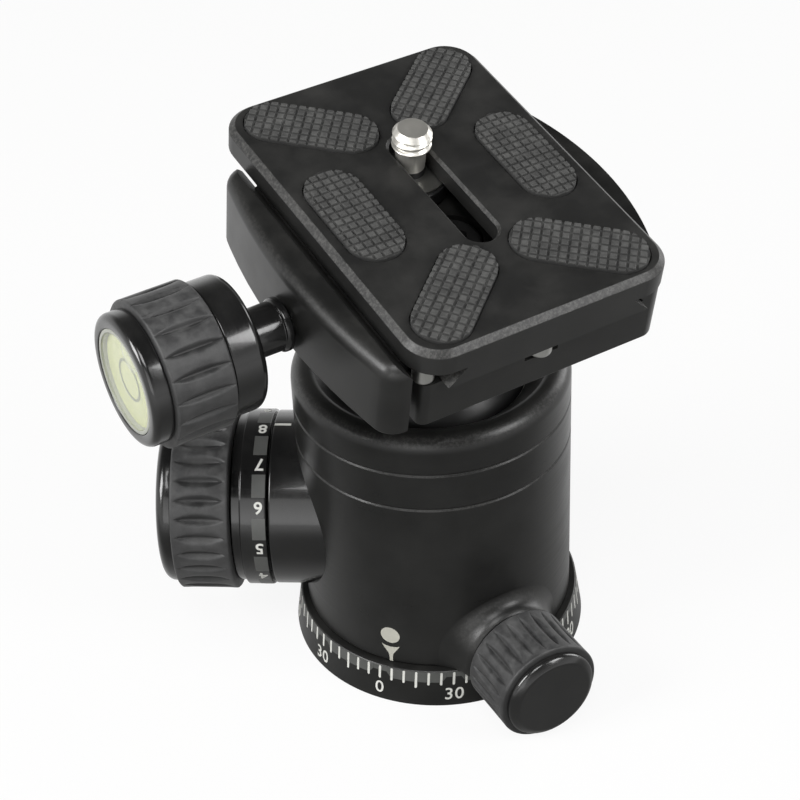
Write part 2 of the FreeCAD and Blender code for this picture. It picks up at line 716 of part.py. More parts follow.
def notch_tool(name):
    """The shape that the stem drops into on one side of the rim, from the ball's centre up."""
    half = d.notch_width / 2
    inner = d.notch_start
    outer = d.housing_radius + MARGIN
    low = rod_in(NOTCH_FRAME, name + "_notch_floor", half, inner, outer)
    high = document.addObject("Part::Box", name + "_notch_sides")
    bind(high, "Length", half * 2)
    bind(high, "Width", d.housing_top - d.ball_height + MARGIN)
    bind(high, "Height", outer - inner)
    high.Placement = NOTCH_FRAME * moved(x=-half, z=inner)
    return joined(name + "_notch", low, high)


def ball_seat_ring():
    """The low-friction ring that the ball is pressed up against, open at the drop notch."""
    top = d.lip_height - d.bearing_gap
    blank = ring("seat_ring_blank", d.lip_radius - MARGIN, d.seat_ring_radius, top - d.seat_ring_height, top)
    space = ball("seat_ring_ball", d.ball_radius + d.socket_gap, d.ball_height)
    return cut("ball_seat_ring", blank, space, notch_tool("seat_ring"))


def lower_ball_cup():
    """The cup under the ball. Its 45 degree cone is what the brake wedge lifts."""
    rim_low = d.cup_top - d.cup_rim
    foot_high = d.cup_bottom + d.cup_foot_height
    blank = turned("cup_blank", [
        (d.cup_bore, d.cup_bottom),
        (d.cup_foot_radius, d.cup_bottom),
        (d.cup_foot_radius, foot_high),
        (d.cup_radius, rim_low),
        (d.cup_radius, d.cup_top),
        (d.cup_bore, d.cup_top),
    ])
    return cut("lower_ball_cup", blank, ball("cup_ball", d.ball_radius + d.socket_gap, d.ball_height))


def brake_wedge():
    """The wedge that the lock screw pushes under the cup's cone."""
    gap = d.running_gap
    slant = gap * DIAGONAL
    foot_high = d.cup_bottom + d.cup_foot_height
    rim_low = d.cup_top - d.cup_rim
    bottom = floor_top() + gap
    half = d.wedge_width / 2
    blank = document.addObject("Part::Box", "wedge_blank")
    bind(blank, "Length", half * 2)
    bind(blank, "Width", d.wedge_top - bottom)
    bind(blank, "Height", d.wedge_reach - d.cup_bore)
    blank.Placement = MAIN_FRAME * moved(x=-half, y=bottom - d.main_height, z=d.cup_bore)
    space = turned("wedge_space", [
        (0, bottom - MARGIN),
        (d.cup_foot_radius + gap, bottom - MARGIN),
        (d.cup_foot_radius + gap, foot_high + gap - slant),
        (d.cup_radius + slant, rim_low),
        (d.cup_radius + slant, d.cup_top),
        (0, d.cup_top),
    ])
    return cut("brake_wedge", blank, space)


def barrel_sleeve():
    """The barrel that carries the lock screw: saddled on the housing, with a spigot in its wall."""
    wall_gap = d.bearing_gap
    saddle = d.housing_radius + wall_gap
    spring_floor = d.barrel_end - d.disc_spring_pack - d.bearing_gap
    barrel = rod("barrel_blank", d.barrel_radius, 0, d.barrel_end)
    edge = round_solid("barrel_edge", barrel, d.small_chamfer, at_height(d.barrel_end), "Part::Chamfer")
    housing_space = document.addObject("Part::Cylinder", "barrel_saddle")
    bind(housing_space, "Radius", saddle)
    bind(housing_space, "Height", saddle * 2)
    turn = FreeCAD.Rotation(ALONG_X, -90)
    housing_space.Placement = FreeCAD.Placement(FreeCAD.Vector(0, -saddle.number, 0), turn)
    saddled = cut("barrel_saddled", edge, housing_space)
    spigot_start = d.housing_bore + wall_gap
    spigot = rod("barrel_spigot", d.spigot_radius, spigot_start, d.barrel_end - d.disc_spring_pack)
    whole = joined("barrel_whole", saddled, spigot)
    screw_bore = rod("barrel_bore", d.lock_screw_radius + d.bearing_gap, 0, d.barrel_end + MARGIN)
    spring_room = d.disc_spring_radius + d.running_gap
    spring_bore = rod("barrel_spring_bore", spring_room, spring_floor, d.barrel_end + MARGIN)
    return cut("barrel_sleeve", whole, screw_bore, spring_bore)


def disc_springs():
    """Four disc springs in a stack, each pair mouth to mouth."""
    inner = d.lock_screw_radius + d.running_gap
    outer = d.disc_spring_radius
    floor = d.barrel_end - d.disc_spring_pack
    each = d.disc_spring_pack / DISC_SPRINGS
    thickness = each * d.disc_spring_share
    rise = each - thickness
    outline = []
    for index in range(DISC_SPRINGS):
        low = floor + each * index
        inner_low = low if index % 2 else low + rise
        outer_low = low + rise if index % 2 else low
        outline.append((inner, inner_low, outer_low))
    discs = []
    for index, (radius, inner_low, outer_low) in enumerate(outline):
        discs.append(turned("disc_spring_%d" % index, [
            (radius, inner_low),
            (outer, outer_low),
            (outer, outer_low + thickness),
            (radius, inner_low + thickness),
        ]))
    return joined("disc_springs", *discs)


def dial_start():
    """The friction dial's inner face."""
    return d.barrel_end + d.running_gap


def grip_start():
    """The main knob's grip starts here, just past the dial."""
    return dial_start() + d.dial_width + d.running_gap


def friction_dial():
    """The numbered ring between the barrel and the main knob, with a step by the grip."""
    start = dial_start()
    end = start + d.dial_width
    step = d.dial_width * d.dial_step_share
    chamfer = d.small_chamfer
    bore = d.nose_radius + d.bearing_gap
    return turned("friction_dial", [
        (bore, start),
        (d.dial_radius - chamfer, start),
        (d.dial_radius, start + chamfer),
        (d.dial_radius, end - step - chamfer),
        (d.dial_step_radius, end - step),
        (d.dial_step_radius, end),
        (bore, end),
    ])


def main_knob_hub():
    """The main knob's metal core: a nose through the dial and a drum under the grip."""
    start = grip_start()
    end = start + d.main_grip_width
    bore = d.lock_screw_radius + d.bearing_gap
    head_floor = d.lock_screw_end + d.bearing_gap
    head_bore = d.knob_screw_head + d.running_gap
    return turned("main_knob_hub", [
        (bore, dial_start() + d.small_chamfer),
        (d.nose_radius, dial_start() + d.small_chamfer),
        (d.nose_radius, start),
        (d.main_hub_radius - d.small_chamfer, start),
        (d.main_hub_radius, start + d.small_chamfer),
        (d.main_hub_radius, end),
        (head_bore, end),
        (head_bore, head_floor),
        (bore, head_floor),
    ])


def main_knob_grip():
    """The main knob's ribbed rubber ring."""
    start = grip_start()
    end = start + d.main_grip_width
    inner = d.main_hub_radius + d.bearing_gap
    return ribbed("main_knob_grip", inner, d.main_grip_radius, start, end, d.main_grip_ribs, d.rib_margin)


def main_knob_cap():
    """The main knob's glossy cap."""
    start = grip_start() + d.main_grip_width + d.bearing_gap
    end = start + d.main_cap_width
    cap = disc("main_knob_cap", d.main_cap_radius, start, end)
    return soften(cap, "Fillet", d.main_cap_round, at_ring(d.main_cap_radius, end))


def lock_screw():
    """The lock screw, from the brake wedge to the main knob, tapped for the knob's screw."""
    start = d.wedge_reach + d.running_gap / 2
    bore = d.knob_screw_radius + d.bearing_gap
    depth = d.lock_screw_tap
    chamfer = d.small_chamfer
    return turned("lock_screw", [
        (0, start),
        (d.lock_screw_radius - chamfer, start),
        (d.lock_screw_radius, start + chamfer),
        (d.lock_screw_radius, d.lock_screw_end),
        (bore, d.lock_screw_end),
        (bore, d.lock_screw_end - depth),
        (0, d.lock_screw_end - depth),
    ])


def main_knob_screw():
    """The socket screw that holds the main knob on the lock screw, under the cap."""
    seat = d.lock_screw_end + d.bearing_gap * 2
    length = d.knob_screw_length
    top = grip_start() + d.main_grip_width - d.bearing_gap
    socket = d.knob_screw_radius * d.socket_share
    return turned("main_knob_screw", [
        (0, seat - length),
        (d.knob_screw_radius, seat - length),
        (d.knob_screw_radius, seat),
        (d.knob_screw_head, seat),
        (d.knob_screw_head, top),
        (socket, top),
        (socket, seat + d.small_chamfer),
        (0, seat + d.small_chamfer),
    ])


def pan_knob_start():
    """The pan knob's hub starts here, just past the bright collar."""
    return d.boss_end + d.bearing_gap + d.collar_thickness + d.running_gap


def pan_boss_collar():
    """The bright collar between the pan boss and the pan knob."""
    start = d.boss_end + d.bearing_gap
    inner = d.pan_screw_radius + d.running_gap
    return ring("pan_boss_collar", inner, d.collar_radius, start, start + d.collar_thickness)


def pan_knob_hub():
    """The pan knob's core under the grip."""
    end = pan_knob_start() + d.pan_grip_width
    return ring("pan_knob_hub", d.pan_screw_radius + d.bearing_gap, d.pan_hub_radius, pan_knob_start(), end)


def pan_knob_grip():
    """The pan knob's ribbed rubber ring."""
    start = pan_knob_start()
    inner = d.pan_hub_radius + d.bearing_gap
    end = start + d.pan_grip_width
    return ribbed("pan_knob_grip", inner, d.pan_grip_radius, start, end, d.pan_grip_ribs, d.rib_margin)


def pan_knob_cap():
    """The pan knob's glossy cap, with a bevelled face."""
    start = pan_knob_start() + d.pan_grip_width + d.bearing_gap
    end = start + d.pan_cap_width
    bevel = d.pan_cap_width / 2
    return turned("pan_knob_cap", [
        (0, start),
        (d.pan_cap_radius, start),
        (d.pan_cap_radius, end - bevel),
        (d.pan_cap_radius - bevel * d.pan_cap_lean, end),
        (0, end),
    ])


def plug_end():
    """The pan brake plug's outer end."""
    return d.hub_radius - d.brake_groove_depth + d.pan_plug_travel + d.pan_plug_length


def pan_lock_screw():
    """The pan knob's screw, from the brake plug to the cap."""
    start = plug_end() + d.running_gap
    end = pan_knob_start() + d.pan_grip_width - d.small_chamfer
    return disc("pan_lock_screw", d.pan_screw_radius, start, end)


def pan_brake_plug():
    """The soft plug that the pan knob's screw presses into the hub's groove."""
    return disc("pan_brake_plug", d.pan_screw_radius, plug_end() - d.pan_plug_length, plug_end())


def ball_and_stem():
    """The ball, its neck and the flange that the clamp sits on, tapped for the clamp bolt."""
    flange_top = d.stem_flange_bottom + d.stem_flange_thickness
    root = other_side(d.ball_radius, d.neck_radius) - MARGIN
    stem = turned("stem", [
        (0, root),
        (d.neck_radius, root),
        (d.neck_radius, d.stem_flange_bottom - MARGIN),
        (d.neck_radius + MARGIN, d.stem_flange_bottom),
        (d.stem_flange_radius - d.small_chamfer, d.stem_flange_bottom),
        (d.stem_flange_radius, d.stem_flange_bottom + d.small_chamfer),
        (d.stem_flange_radius, flange_top),
        (0, flange_top),
    ])
    whole = joined("ball_with_stem", ball("ball", d.ball_radius), stem)
    bolt_radius = d.clamp_bolt_radius + d.bearing_gap
    bore = rod("stem_bore", bolt_radius, flange_top - d.clamp_bolt_depth - MARGIN, flange_top + MARGIN)
    return cut("ball_and_stem", whole, bore)


def clamp_washer():
    """The washer between the stem's flange and the clamp."""
    top = d.clamp_bottom - d.bearing_gap
    inner = d.clamp_bolt_radius + d.running_gap
    outer = d.stem_flange_radius - MARGIN
    return ring("clamp_washer", inner, outer, top - d.clamp_washer_thickness, top)


def clamp_bolt():
    """The socket bolt that holds the clamp on the stem."""
    flange_top = d.stem_flange_bottom + d.stem_flange_thickness
    bottom = flange_top - d.clamp_bolt_depth
    top = d.clamp_deck - d.running_gap
    shape = turned("clamp_bolt_blank", [
        (0, bottom),
        (d.clamp_bolt_radius - d.small_chamfer, bottom),
        (d.clamp_bolt_radius, bottom + d.small_chamfer),
        (d.clamp_bolt_radius, d.clamp_bolt_seat + d.bearing_gap),
        (d.clamp_bolt_head, d.clamp_bolt_seat + d.bearing_gap),
        (d.clamp_bolt_head, top - d.small_chamfer),
        (d.clamp_bolt_head - d.small_chamfer, top),
        (0, top),
    ])
    socket = document.addObject("Part::Prism", "clamp_bolt_socket")
    socket.Polygon = 6
    bind(socket, "Circumradius", d.clamp_bolt_head * d.socket_share)
    bind(socket, "Height", d.clamp_bolt_radius + MARGIN)
    bind(socket, "Placement.Base.z", top - d.clamp_bolt_radius)
    return cut("clamp_bolt", shape, socket)


def dovetail_top():
    """The top of the dovetail, which is the plate's flat underside."""
    return d.plate_bottom + d.dovetail_height


def clamp_hook_top():
    """The top of the clamp's fixed hook and of the jaw's hook."""
    return dovetail_top() - d.running_gap


def hook_line(height):
    """How far the clamp's 45 degree flank lies from the middle at a height."""
    return d.dovetail_half_width + d.running_gap * DIAGONAL - (height - d.plate_bottom)


def clamp_body():
    """The clamp's fixed half: bed, far hook, bores for bolt, pins, springs and lead screw."""
    outline = [
        (d.clamp_left, d.clamp_bottom),
        (d.clamp_right, d.clamp_bottom),
        (d.clamp_right, clamp_hook_top()),
        (hook_line(clamp_hook_top()), clamp_hook_top()),
        (hook_line(d.clamp_deck), d.clamp_deck),
        (d.clamp_left, d.clamp_deck),
    ]
    straight = bar("clamp_straight", outline, d.clamp_half_length)
    middle = d.clamp_right - d.clamp_side_bend
    bend = rod("clamp_bend", d.clamp_side_bend, d.clamp_bottom - MARGIN, d.jaw_top, x=middle)
    curved = shared("clamp_curved", straight, bend)

    def corner(edge):
        return upright_edge(edge) and abs(abs(edge.CenterOfMass.y) - d.clamp_half_length.number) < NEAR * 10

    rounded = round_solid("clamp_rounded", curved, d.clamp_corner, corner)
    bolt_bore = d.clamp_bolt_radius + d.bearing_gap
    bolt_hole = rod("clamp_bolt_hole", bolt_bore, d.clamp_bottom - MARGIN, d.clamp_deck)
    head_bore = d.clamp_bolt_head + d.running_gap
    head_hole = rod("clamp_head_hole", head_bore, d.clamp_bolt_seat, d.clamp_deck + MARGIN)
    screw_hole = cross_rod(
        "clamp_screw_hole",
        d.lead_screw_radius + d.bearing_gap,
        d.clamp_left - MARGIN,
        -d.lead_screw_end + d.small_chamfer,
        z=d.clamp_axis,
    )
    tools = [bolt_hole, head_hole, screw_hole]
    for side in (-1, 1):
        across = d.guide_pin_spacing / 2 * side
        pin_bore = d.guide_pin_radius + d.bearing_gap
        deep = d.guide_pin_end + d.small_chamfer
        left = d.clamp_left - MARGIN
        pocket_end = d.clamp_left + d.spring_pocket_depth
        tools.append(cross_rod("pin_bore%d" % side, pin_bore, left, deep, y=across, z=d.clamp_axis))
        radius = d.spring_pocket_radius
        tools.append(cross_rod("pin_pocket%d" % side, radius, left, pocket_end, y=across, z=d.clamp_axis))
        half = d.notch_in_deck_width / 2
        wall = d.clamp_half_length - d.notch_in_deck_depth
        outside = d.clamp_half_length + MARGIN
        span = (wall, outside) if side > 0 else (-outside, -wall)
        height = (d.notch_in_deck_floor, d.clamp_deck + MARGIN)
        tools.append(block("deck_notch%d" % side, (-half, half), span, height))
    return cut("clamp_body", rounded, *tools)


def jaw_inside():
    """The jaw's inner face."""
    return d.clamp_left - d.jaw_gap


def clamp_jaw():
    """The clamp's moving jaw, bowed outside, with a hook over the dovetail."""
    inside = jaw_inside()
    land = inside - d.jaw_land
    top = d.jaw_top
    upright = bar("jaw_upright", [
        (inside, d.clamp_bottom),
        (inside, clamp_hook_top()),
        (land, top),
        (d.jaw_outside, top),
        (d.jaw_outside, d.clamp_bottom),
    ], d.clamp_half_length)
    middle = d.jaw_outside + d.jaw_bend
    bend = rod("jaw_bend", d.jaw_bend, d.clamp_bottom - MARGIN, top + MARGIN, x=middle)
    curved = shared("jaw_curved", upright, bend)

    def corner(edge):
        middle = edge.CenterOfMass
        outer = middle.x < inside.number - 1
        return upright_edge(edge) and outer and abs(abs(middle.y) - d.clamp_half_length.number) < NEAR * 10

    rounded = round_solid("jaw_rounded", curved, d.jaw_corner, corner)
    crown = disc("jaw_crown", d.jaw_bend, d.clamp_bottom - MARGIN, top)
    soften(crown, "Fillet", d.jaw_top_round, at_ring(d.jaw_bend, top))
    crown.Placement = moved(x=middle)
    smooth = shared("jaw_smooth", rounded, crown)
    hook_low = d.clamp_deck + d.running_gap
    hook = bar("jaw_hook", [
        (inside - 1, hook_low),
        (-hook_line(hook_low), hook_low),
        (-hook_line(clamp_hook_top()), clamp_hook_top()),
        (inside - 1, clamp_hook_top()),
    ], d.hook_half_length)
    whole = joined("jaw_whole", smooth, hook)
    outside = d.jaw_outside - MARGIN
    screw_radius = d.lead_screw_radius + d.running_gap
    tools = [cross_rod("jaw_screw_hole", screw_radius, outside, inside + MARGIN, z=d.clamp_axis)]
    for side in (-1, 1):
        across = d.guide_pin_spacing / 2 * side
        radius = d.guide_pin_radius
        name = "jaw_pin_hole%d" % side
        tools.append(cross_rod(name, radius, pin_seat(), inside + MARGIN, y=across, z=d.clamp_axis))
    return cut("clamp_jaw", whole, *tools)


def pin_seat():
    """The guide pins' pressed-in end inside the jaw."""
    return jaw_inside() - MARGIN


def guide_pins():
    """Two pins, pressed into the jaw and sliding in the clamp body."""
    pins = []
    for side in (-1, 1):
        across = d.guide_pin_spacing / 2 * side
        name = "guide_pin%d" % side
        pins.append(cross_rod(name, d.guide_pin_radius, pin_seat(), d.guide_pin_end, y=across, z=d.clamp_axis))
    return joined("guide_pins", *pins)


def clamp_springs():
    """Two opening springs round the guide pins, as plain sleeves."""
    springs = []
    low = jaw_inside() + d.bearing_gap
    high = d.clamp_left + d.spring_pocket_depth - d.running_gap
    for side in (-1, 1):
        across = d.guide_pin_spacing / 2 * side
        outer = cross_rod("spring_outer%d" % side, d.clamp_spring_radius, low, high, y=across, z=d.clamp_axis)
        hollow = d.clamp_spring_radius - d.clamp_spring_wire
        inner = cross_rod("spring_inner%d" % side, hollow, low - 1, high + 1, y=across, z=d.clamp_axis)
        springs.append(cut("spring%d" % side, outer, inner))
    return joined("clamp_springs", *springs)


def clamp_knob_hub():
    """The clamp knob's core: shaft from the jaw, collar, drum under the grip, cup for the level."""
    shaft_start = -d.jaw_outside + d.running_gap
    collar_end = d.knob_collar_start + d.knob_collar_width
    grip_end = collar_end + d.running_gap + d.knob_grip_width
    bore = d.lead_screw_radius + d.bearing_gap
    floor = knob_face() - d.vial_depth - d.lens_thickness
    cup = d.vial_radius + d.bearing_gap
    hub = turned("clamp_knob_hub", [
        (bore, shaft_start),
        (d.knob_shaft_radius, shaft_start),
        (d.knob_shaft_radius, d.knob_collar_start),
        (d.knob_collar_radius, d.knob_collar_start),
        (d.knob_collar_radius, collar_end),
        (d.knob_hub_radius, collar_end),
        (d.knob_hub_radius, grip_end),
        (cup, grip_end),
        (cup, floor),
        (bore, floor),
    ])
    return soften(hub, "Fillet", d.knob_collar_round, at_ring(d.knob_collar_radius, d.knob_collar_start))


def knob_face():
    """The clamp knob's outer face from the stem's axis."""
    grip_end = d.knob_collar_start + d.knob_collar_width + d.running_gap + d.knob_grip_width
    return grip_end + d.bearing_gap + d.knob_cap_width


def clamp_knob_grip():
    """The clamp knob's ribbed rubber ring."""
    start = d.knob_collar_start + d.knob_collar_width + d.running_gap
    end = start + d.knob_grip_width
    inner = d.knob_hub_radius + d.bearing_gap
    return ribbed("clamp_knob_grip", inner, d.knob_grip_radius, start, end, d.knob_grip_ribs, d.rib_margin)


def clamp_knob_cap():
    """The clamp knob's glossy end ring round the bubble level."""
    start = knob_face() - d.knob_cap_width
    inner = d.vial_radius + d.bearing_gap
    cap = ring("clamp_knob_cap", inner, d.knob_cap_radius, start, knob_face())
    return soften(cap, "Fillet", d.knob_cap_round, at_ring(d.knob_cap_radius, knob_face()))


def vial_floor():
    """The underside of the bubble level's cup."""
    return knob_face() - d.vial_depth - d.lens_thickness + d.bearing_gap


def level_vial():
    """The bubble level's pale cup."""
    inner = d.vial_radius - d.vial_wall
    top = knob_face() - d.lens_thickness
    return turned("level_vial", [
        (0, vial_floor()),
        (d.vial_radius, vial_floor()),
        (d.vial_radius, top),
        (inner, top),
        (inner, vial_floor() + d.vial_wall),
        (0, vial_floor() + d.vial_wall),
    ])


def bubble_height():
    """The bubble's centre along the knob's axis, just under the lens."""
    return knob_face() - d.lens_thickness - d.bubble_radius - d.running_gap


def bubble_rise():
    """The bubble's distance above the knob's axis: it floats to the top of the cup."""
    return d.vial_radius - d.vial_wall - d.bubble_radius - d.running_gap


def bubble_ball(name, radius):
    """A ball at the bubble's place."""
    sphere = document.addObject("Part::Sphere", name)
    bind(sphere, "Radius", radius)
    bind(sphere, "Placement.Base.y", bubble_rise())
    bind(sphere, "Placement.Base.z", bubble_height())
    return sphere


def level_fluid():
    """The level's yellow-green fluid, with a hollow for the bubble."""
    low = vial_floor() + d.vial_wall + d.bearing_gap
    high = knob_face() - d.lens_thickness - d.bearing_gap
    filled = disc("fluid_filled", d.vial_radius - d.vial_wall - d.bearing_gap, low, high)
    return cut("level_fluid", filled, bubble_ball("bubble_space", d.bubble_radius))


def level_bubble():
    """The level's bubble, flattened a little against the lens."""
    radius = d.bubble_radius - d.bearing_gap * 3
    high = bubble_height() + radius * d.bubble_flat
    room = disc("bubble_room", d.vial_radius, vial_floor(), high)
    return shared("level_bubble", bubble_ball("bubble_round", radius), room)


def level_lens():
    """The level's clear lens."""
    high = knob_face() - d.bearing_gap
    return disc("level_lens", d.vial_radius, knob_face() - d.lens_thickness + d.bearing_gap, high)


def clamp_lead_screw():
    """The clamp's lead screw, from the knob through the jaw into the clamp body, with a clip groove."""
    inner_end = d.lead_screw_end
    outer_end = vial_floor() - d.running_gap
    groove_low = -d.clamp_left + d.jaw_gap / 2 - d.clip_thickness / 2
    groove_high = groove_low + d.clip_thickness
    groove = d.lead_screw_radius * d.clip_groove_share
    return turned("clamp_lead_screw", [
        (0, inner_end),
        (d.lead_screw_radius - d.small_chamfer, inner_end),
        (d.lead_screw_radius, inner_end + d.small_chamfer),
        (d.lead_screw_radius, groove_low - d.bearing_gap),
        (groove, groove_low - d.bearing_gap),
        (groove, groove_high + d.bearing_gap),
        (d.lead_screw_radius, groove_high + d.bearing_gap),
        (d.lead_screw_radius, outer_end),
        (0, outer_end),
    ])


def lead_screw_clip():
    """The open clip in the lead screw's groove, which pulls the jaw along."""
    low = -d.clamp_left + d.jaw_gap / 2 - d.clip_thickness / 2
    inner = d.lead_screw_radius * d.clip_groove_share + d.bearing_gap
    whole = ring("clip_ring", inner, d.clip_radius, low, low + d.clip_thickness)
    half = d.lead_screw_radius * d.clip_mouth_share
    span = (low - MARGIN, low + d.clip_thickness + MARGIN)
    mouth = block("clip_mouth", (-half, half), (0, d.clip_radius + MARGIN), span)
    return cut("lead_screw_clip", whole, mouth)


def corner_of(half_x, half_y):
    """Choose the upright edges at the corners of a slab."""
    def chosen(edge):
        middle = edge.CenterOfMass
        near_x = abs(abs(middle.x) - half_x.number) < NEAR * 10
        return upright_edge(edge) and near_x and abs(abs(middle.y) - half_y.number) < NEAR * 10
    return chosen


def rubber_places():
    """Where the six rubber pads lie on the plate: x, y, turn and length."""
    places = []
    for side in (-1, 1):
        places.append((d.side_rubber_place * side, d.side_rubber_shift, as_size(90), d.rubber_length))
    for across in (-1, 1):
        for along in (-1, 1):
            turn = d.corner_rubber_turn * (across * along)
            place = (d.corner_rubber_across * across, d.corner_rubber_along * along)
            places.append((*place, turn, d.corner_rubber_length))
    return places


def rubber_shapes(name, low, high):
    """Six stadium shapes at the rubber pads' places."""
    shapes = []
    for index, (x, y, turn, length) in enumerate(rubber_places()):
        shape = stadium("%s_%d" % (name, index), length, d.rubber_width, low, high, along="x")
        shape.Placement = moved(x, y, 0, turn)
        shapes.append(shape)
    return shapes


def quick_release_plate():
    """The plate: dovetail below, slotted for the camera screw, with seats for the rubber pads."""
    half_x = d.plate_width / 2
    half_y = d.plate_length / 2
    slab_body = slab("plate_blank", half_x, half_y, d.plate_bottom, d.plate_top)
    soften(slab_body, "Fillet", d.plate_corner, corner_of(half_x, half_y))
    soften(slab_body, "Chamfer", d.plate_chamfer, at_height(d.plate_top))
    tools = []
    for side in (-1, 1):
        outline = [
            (d.dovetail_half_width * side, d.plate_bottom),
            ((d.dovetail_half_width - d.dovetail_height) * side, dovetail_top()),
            ((half_x + MARGIN) * side, dovetail_top()),
            ((half_x + MARGIN) * side, d.plate_bottom - MARGIN),
            ((d.dovetail_half_width + MARGIN) * side, d.plate_bottom - MARGIN),
        ]
        tools.append(bar("plate_channel%d" % side, outline, half_y + MARGIN))
    low = d.plate_bottom - MARGIN
    tools.append(stadium("plate_slot", d.slot_length, d.slot_width, low, d.plate_top + MARGIN))
    roof = d.plate_bottom + d.recess_depth
    tools.append(stadium("plate_recess", d.recess_length, d.recess_width, low, roof))
    open_plate = cut("plate_open", slab_body, *tools)

    def slot_edge(edge):
        return at_height(d.plate_top)(edge) and edge.BoundBox.XMax < d.slot_width.number

    eased = round_solid("plate_eased", open_plate, d.slot_chamfer, slot_edge, "Part::Chamfer")
    seats = rubber_shapes("rubber_seat", d.plate_top - d.rubber_sunk, d.plate_top + MARGIN)
    for side in (-1, 1):
        shank = d.stop_shank_radius
        roof = d.plate_bottom + d.stop_shank_length
        seats.append(rod("end_stop_hole%d" % side, shank, low, roof, y=d.end_stop_place * side))
        roof = dovetail_top() + d.stop_shank_length
        x = d.side_stop_across * side
        y = d.side_stop_along * side
        seats.append(rod("side_stop_hole%d" % side, shank, low, roof, x, y))
    return cut("quick_release_plate", eased, *seats)


def rubber_pads():
    """The six rubber pads that grip the camera."""
    pads = rubber_shapes("rubber", d.plate_top - d.rubber_sunk, d.plate_top + d.rubber_proud)
    return joined("rubber_pads", *pads)


def stop_screws():
    """Four small screws under the plate that keep it from sliding out of the clamp."""
    solids = []
    for side in (-1, 1):
        y = d.end_stop_place * side
        low = d.plate_bottom - d.end_stop_height
        solids.append(rod("end_stop_head%d" % side, d.end_stop_radius, low, d.plate_bottom, y=y))
        shank_top = d.plate_bottom + d.stop_shank_length
        solids.append(rod("end_stop_shank%d" % side, d.stop_shank_radius, d.plate_bottom, shank_top, y=y))
        x = d.side_stop_across * side
        y = d.side_stop_along * side
        solids.append(rod("side_stop_head%d" % side, d.side_stop_radius, d.plate_bottom, dovetail_top(), x, y))
        shank_top = dovetail_top() + d.stop_shank_length
        solids.append(rod("side_stop_shank%d" % side, d.stop_shank_radius, dovetail_top(), shank_top, x, y))
    return joined("stop_screws", *solids)


def camera_head_bottom():
    """The camera screw's head starts just above the clamp's bed."""
    return d.plate_bottom + d.bearing_gap * 4


def camera_head_top():
    """The top of the camera screw's head."""
    return camera_head_bottom() + d.camera_head_height


def camera_screw():
    """The captive camera screw: slotted head, neck in the plate's slot, quarter inch stud."""
    chamfer = d.camera_thread_chamfer
    low = camera_head_bottom()
    high = camera_head_top()
    blank = turned("camera_screw_blank", [
        (0, low),
        (d.camera_head_radius - d.small_chamfer, low),
        (d.camera_head_radius, low + d.small_chamfer),
        (d.camera_head_radius, high),
        (d.camera_neck_radius, high),
        (d.camera_neck_radius, d.camera_thread_start - d.small_chamfer),
        (d.camera_thread_radius, d.camera_thread_start),
        (d.camera_thread_radius, d.camera_thread_end - chamfer),
        (d.camera_thread_radius - chamfer, d.camera_thread_end),
        (0, d.camera_thread_end),
    ])
    half = d.coin_slot_width / 2
    reach = d.camera_head_radius + MARGIN
    coin_slot = block("coin_slot", (-reach, reach), (-half, half), (low - MARGIN, low + d.coin_slot_depth))
    return cut("camera_screw", blank, coin_slot)


def screw_clip():
    """The washer that slides with the camera screw under the plate."""
    low = camera_head_top() + d.bearing_gap
    inner = d.camera_neck_radius + d.bearing_gap
    return ring("screw_clip", inner, d.screw_clip_radius, low, low + d.screw_clip_thickness)


def housing_floor():
    """The disc screwed into the housing's bore, which runs on the pan bearing."""
    inner = d.post_radius + d.bearing_gap
    outer = d.housing_bore - d.bearing_gap
    return ring("housing_floor", inner, outer, floor_bottom(), floor_top())


def pan_bearing():
    """The low-friction washer between the hub and the housing floor."""
    low = d.hub_height + d.bearing_gap
    inner = d.post_radius + d.running_gap
    return ring("pan_bearing", inner, d.bearing_radius, low, low + d.bearing_thickness)


def thrust_washer():
    """The washer between the housing floor and the spindle nut."""
    low = floor_top() + d.bearing_gap
    inner = d.post_radius + d.bearing_gap
    return ring("thrust_washer", inner, d.thrust_washer_radius, low, low + d.thrust_washer_thickness)


def spindle_nut():
    """The nut on the spindle's post that holds the housing down."""
    high = nut_bottom() + d.nut_thickness
    blank = ring("nut_blank", d.post_radius + d.bearing_gap / 2, d.nut_radius, nut_bottom(), high)
    slots = []
    for turn in (0, 90):
        slot = document.addObject("Part::Box", "nut_slot%d" % turn)
        bind(slot, "Length", d.nut_radius * 2 + MARGIN)
        bind(slot, "Width", MARGIN)
        bind(slot, "Height", d.nut_thickness)
        shift = FreeCAD.Placement(
            FreeCAD.Vector(-d.nut_radius.number - MARGIN / 2, -MARGIN / 2, high.number - d.nut_thickness.number / 3),
            NO_TURN,
        )
        slot.Placement = moved(turn=turn) * shift
        slots.append(slot)
    return cut("spindle_nut", blank, *slots)


def cup_spring():
    """The spring ring that keeps the cup against the ball when the knob is loose."""
    low = floor_top() + d.bearing_gap
    return ring("cup_spring", d.spring_ring_inner, d.spring_ring_outer, low, d.cup_bottom - d.bearing_gap)


def check_document():
    """Stop if any object failed or any sub-part has no valid shape."""
    document.recompute()
    for item in document.Objects:
        if "Invalid" in item.State or "Error" in item.State:
            raise RuntimeError("%s failed: %s" % (item.Label, item.State))
    for piece in pieces:
        if piece.Shape.isNull() or not piece.Shape.isValid():
            raise RuntimeError("%s has no valid shape" % piece.Label)
        if piece.Shape.Volume <= 0:
            raise RuntimeError("%s is empty" % piece.Label)


def write_parts():
    """Write each sub-part's solid to its own file."""
    os.makedirs("parts", exist_ok=True)
    for piece in pieces:
        piece.Shape.exportStep("parts/%s.step" % piece.Label)


